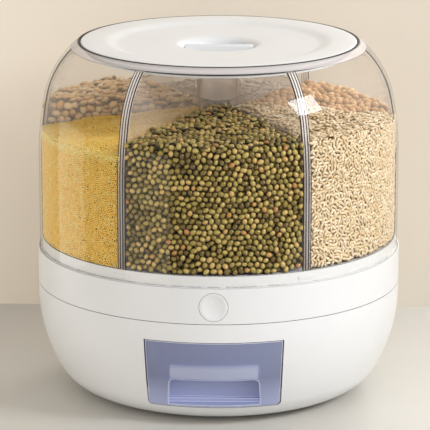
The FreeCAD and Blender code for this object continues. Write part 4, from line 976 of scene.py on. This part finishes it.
class KEEPER_OT_neck_ring(Operator):
    """Thick clear ring at the drum's mouth, round the lid, and a dark ring in it, painted shade of the gap under the
    lid's edge
    """
    bl_idname = "keeper.neck_ring"
    bl_label = "Neck ring"

    def execute(self, context):
        out = arc_points(SHOULDER_CENTRE, SHOULDER_R, shoulder_angle(NECK_LOW), shoulder_angle(NECK_TOP), NECK_STEPS)
        seat, bore = LID_R + 0.6 * MM, 116.5 * MM
        ledge = LID_TOP - 3.1 * MM
        profile = out + [(seat + 0.3 * MM, NECK_TOP), (seat, NECK_TOP - 0.4 * MM), (seat, ledge)]
        profile += [(bore + 0.5 * MM, ledge), (bore, ledge - 0.5 * MM), (bore, NECK_LOW + 0.6 * MM)]
        profile += [(bore + 0.6 * MM, NECK_LOW)] + out[:1]
        ring = lathe("neck_ring", profile, DRUM_STEPS)
        smooth(ring, 30)
        # Dark ring at the seat: painted shade of the gap under the lid's edge
        section = square_ring(seat - 0.4 * MM, seat + 1.6 * MM, NECK_TOP - 0.3 * MM, NECK_TOP + 0.5 * MM)
        shade_ring = lathe("mouth_shade_ring", section, DRUM_STEPS)
        smooth(shade_ring, 30)
        dress(shade_ring, moulded_plastic("mouth_ring_shade", srgb(44, 41, 39), 0.6, shade_reach=None), "drum")
        clear = clear_plastic("clear_neck", srgb(252, 250, 250), srgb(190, 186, 184), power=4.0, gloss=0.05,
                              veil=Veil(srgb(242, 236, 234), 0.6),
                              painted_edges=Line(srgb(84, 78, 76), 0.4 * MM, 0.75))
        dress(ring, clear, "drum")
        return {"FINISHED"}


class KEEPER_OT_guide_ribs(Operator):
    """Paired ribs inside the wall that hold the edge of each fin, with dark strips of painted shade beside them"""
    bl_idname = "keeper.guide_ribs"
    bl_label = "Guide ribs"

    # Width and offset of each clear strip and of each dark strip of painted shade, and how deep they are, in mm
    strips = ((1.6, -2.5), (1.9, 0), (1.6, 2.5))
    shade_strips = ((0.55, -3.6), (0.55, -1.32), (0.55, 1.32), (0.55, 3.6))
    strip_depth, groove_depth = 3, 1.2

    def ring_of(self, name, depth, sizes):
        """Upright strips side by side along the wall at each fin, as one piece."""
        low, high = BAND_TOP + 0.5 * MM, NECK_TOP - 6.0 * MM
        outer = bell_points(WALL - 0.05 * MM, low, high)
        inner = bell_points(WALL + depth * MM, low, high)
        outline = outer + inner[::-1] + outer[:1]
        parts = [plate(name, outline, width * MM, offset * MM) for width, offset in sizes]
        return copies_around(join(parts), COMPARTMENTS, FRONT + SECTOR / 2)

    def execute(self, context):
        ribs = self.ring_of("guide_ribs", self.strip_depth, self.strips)
        add_modifier(ribs, "BEVEL", width=0.35 * MM, segments=2, limit_method="ANGLE")
        # Dark strips of painted shade between and beside the clear ribs
        shade_strips = self.ring_of("rib_shade_strips", self.groove_depth, self.shade_strips)
        smooth(shade_strips, 30)
        shade = clear_plastic("rib_strip_shade", srgb(150, 138, 128), srgb(70, 56, 48), gloss=0.1, strength=0.5,
                              veil=Veil(srgb(66, 52, 44), 0.7))
        dress(shade_strips, shade, "drum")
        smooth(ribs, 30)
        clear = clear_plastic("clear_ribs", srgb(248, 246, 248), srgb(120, 108, 116), gloss=0.06, strength=1.2,
                              veil=Veil(srgb(250, 244, 238), 0.92, (225 * MM, 285 * MM), 0.36),
                              painted_edges=Line(srgb(56, 42, 36), 0.45 * MM, 0.95))
        dress(ribs, clear, "drum")
        return {"FINISHED"}


class KEEPER_OT_divider(Operator):
    """Finish of the clear fins, the hub tube and its plug"""
    bl_idname = "keeper.divider"
    bl_label = "Divider"

    def execute(self, context):
        fins = clear_plastic("clear_fins", srgb(252, 250, 249), srgb(112, 100, 94), power=3.5, gloss=0.08,
                             strength=0.6, veil=Veil(srgb(246, 238, 230), 0.24),
                             painted_edges=Line(srgb(120, 108, 100), 0.6 * MM, 0.8))
        plug = clear_plastic("clear_plug", srgb(244, 240, 238), srgb(110, 104, 104), gloss=0.08,
                             veil=Veil(srgb(250, 242, 234), 0.3),
                             painted_edges=Line(srgb(58, 48, 42), 1.0 * MM, 1.0))
        dress(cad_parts["divider_insert"], fins)
        dress(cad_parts["hub_plug"], plug)
        return {"FINISHED"}


def from_level(level, *points):
    """(r, z) points given in mm, their z from a level."""
    return [(r * MM, level + z * MM) for r, z in points]


class KEEPER_OT_lid(Operator):
    """White lid with a raised outer ring, a dished middle and a sunk grip"""
    bl_idname = "keeper.lid"
    bl_label = "Lid"

    # Levels of the dished middle, the well's floor and the grip's top
    dished = LID_TOP - 3 * MM
    floor = dished - 18.6 * MM
    grip_top = dished - 1 * MM

    def outline(self):
        """(r, z) outline of the plate: over its top down to the grip well's floor, and back underneath."""
        rim, steps = 1.5 * MM, 8
        points = [(112 * MM, LID_TOP - 3.4 * MM), (LID_R - 0.4 * MM, LID_TOP - 2.8 * MM), (LID_R, LID_TOP - 2.3 * MM)]
        points += arc_points((LID_R - rim, LID_TOP - rim), rim, 0, 90, 5)
        for i in range(steps + 1):
            fall = (1 - math.cos(math.pi * i / steps)) / 2
            points.append((101 * MM - 15 * MM * i / steps, LID_TOP - 3 * MM * fall))
        points += from_level(self.dished, (60, 0))
        points += arc_points((39 * MM, self.dished - 9 * MM), 9 * MM, 90, 180, 6)
        points += arc_points((24 * MM, self.floor + 6 * MM), 6 * MM, 0, -90, 5)
        points += from_level(self.floor, (0.2, 0), (0.2, -2.2), (25, -2.2), (32.3, 4))
        points += from_level(self.dished, (32.3, -10), (40, -2.4), (86, -2.4))
        points += from_level(LID_TOP, (101, -2.4), (111.8, -2.4), (111.8, -11.4), (114.2, -11.4), (114.2, -3.4))
        return points + points[:1]

    def grip(self):
        """Upright fin across the well, to hold the lid by."""
        height = self.grip_top - self.floor
        deselect_all()
        bpy.ops.mesh.primitive_cube_add(size=1, location=(0, 0, 0))
        grip = bpy.context.object
        grip.name = "grip_fin"
        bpy.ops.object.mode_set(mode="EDIT")
        bpy.ops.transform.resize(value=(60.5 * MM, 5.2 * MM, height))
        bpy.ops.transform.translate(value=(0, 0, self.floor + height / 2))
        finish_mesh()
        add_modifier(grip, "BEVEL", width=1.8 * MM, segments=4, limit_method="ANGLE")
        smooth(grip, 30)
        return grip

    def execute(self, context):
        f = context.scene.keeper_finishes
        lid = lathe("lid_plate", self.outline(), LID_STEPS)
        smooth(lid, 32)
        join([lid, self.grip()])
        dress(lid, moulded_plastic("white_lid", f.lid, 0.34, coat=0.1), "lid")
        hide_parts("lid")
        return {"FINISHED"}


class KEEPER_OT_drawer(Operator):
    """Finish of the tinted drawer with painted highlights along its edges, and the pale pane in front of its grip,
    painted light that stands for light coming through the grip's plastic
    """
    bl_idname = "keeper.drawer"
    bl_label = "Drawer"

    # The pane: its heights and the degrees that it spans, in steps up and round, how far it lies behind the
    # base's outer face, and its thickness
    low, high, rows = 46.4 * MM, 59 * MM, 6
    span, columns = 28.4, 24
    inset, thickness = 2.9 * MM, 0.7 * MM

    def bowl_radius(self, z):
        """Radius of the base's bowl at a height, an ellipse that the drawer's front follows."""
        foot, reach, top, depth = 108 * MM, 52 * MM, 90 * MM, 88 * MM
        return foot + reach * math.sqrt(1 - ((top - z) / depth) ** 2)

    def execute(self, context):
        f = context.scene.keeper_finishes
        # Tinted drawer with light edge lines, painted highlights along its edges
        tint = clear_plastic("drawer_tint", f.drawer, srgb(60, 66, 110), gloss=0.06,
                             veil=Veil(srgb(182, 190, 226), 0.9, (48 * MM, 22 * MM), 0.52),
                             painted_edges=Line(srgb(240, 242, 254), 1.1 * MM, 1.0))
        dress(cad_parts["drawer_cup"], tint)
        heights = [self.low + (self.high - self.low) * i / self.rows for i in range(self.rows + 1)]
        front = [(self.bowl_radius(z) - self.inset, z) for z in heights]
        back = [(r - self.thickness, z) for r, z in front]
        pane = lathe("grip_pane", front + back[::-1] + front[:1], self.columns, math.radians(self.span))
        turn(pane, FRONT + math.radians(self.span / 2))
        smooth(pane, 30)
        # Pale pane: painted light, with painted highlights along its edges
        pale = clear_plastic("pane_painted_light", srgb(236, 238, 248), srgb(150, 154, 190), gloss=0.1, strength=0.6,
                             veil=Veil(srgb(236, 236, 220), 0.85),
                             painted_edges=Line(srgb(255, 255, 255), 0.8 * MM, 1.0))
        dress(pane, pale, "drawer")
        return {"FINISHED"}


class KEEPER_OT_grain(Operator):
    """Grain in the compartments"""
    bl_idname = "keeper.grain"
    bl_label = "Grain"

    def execute(self, context):
        g = context.scene.keeper_grains
        draw = np.random.default_rng(g.seed)
        skins = {name: grain_skin(*skin) for name, skin in SKINS.items()}
        for name, (size, *layout) in PLANS.items():
            heap, length = HEAPS[name], getattr(g, size)
            for piece in fill_compartment(name, heap, draw, length, *layout):
                dress(piece, skins[name], "drum")
            core = heap_core(name + "_core", heap, length)
            # The heap's body is coloured with the painted shade seen between the grains
            shadow = moulded_plastic(name + "_shadow", GAP_SHADES[name], 0.9, bump=0.3, grain=300.0, shade_reach=None)
            dress(core, shadow, "drum")
        return {"FINISHED"}


OPERATORS = (KEEPER_OT_studio, KEEPER_OT_casing, KEEPER_OT_drum_wall, KEEPER_OT_neck_ring, KEEPER_OT_guide_ribs,
             KEEPER_OT_divider, KEEPER_OT_lid, KEEPER_OT_drawer, KEEPER_OT_grain)


class KEEPER_PT_panel(Panel):
    """Lists the keeper's pieces"""
    bl_idname = "KEEPER_PT_panel"
    bl_label = "Grain keeper"
    bl_space_type = "VIEW_3D"
    bl_region_type = "UI"
    bl_category = "Grain keeper"

    def draw(self, context):
        for operator in OPERATORS:
            self.layout.operator(operator.bl_idname)


CLASSES = (KeeperFinishes, KeeperGrains, KeeperStudio, *OPERATORS, KEEPER_PT_panel)


def register():
    for cls in CLASSES:
        bpy.utils.register_class(cls)
    bpy.types.Scene.keeper_finishes = PointerProperty(type=KeeperFinishes)
    bpy.types.Scene.keeper_grains = PointerProperty(type=KeeperGrains)
    bpy.types.Scene.keeper_studio = PointerProperty(type=KeeperStudio)


def unregister():
    del bpy.types.Scene.keeper_studio
    del bpy.types.Scene.keeper_grains
    del bpy.types.Scene.keeper_finishes
    for cls in reversed(CLASSES):
        bpy.utils.unregister_class(cls)


def main():
    register()
    for operator in OPERATORS:
        group, name = operator.bl_idname.split(".")
        if getattr(getattr(bpy.ops, group), name)() != {"FINISHED"}:
            raise RuntimeError(operator.bl_label + " didn't finish")


if __name__ == "__main__":
    main()
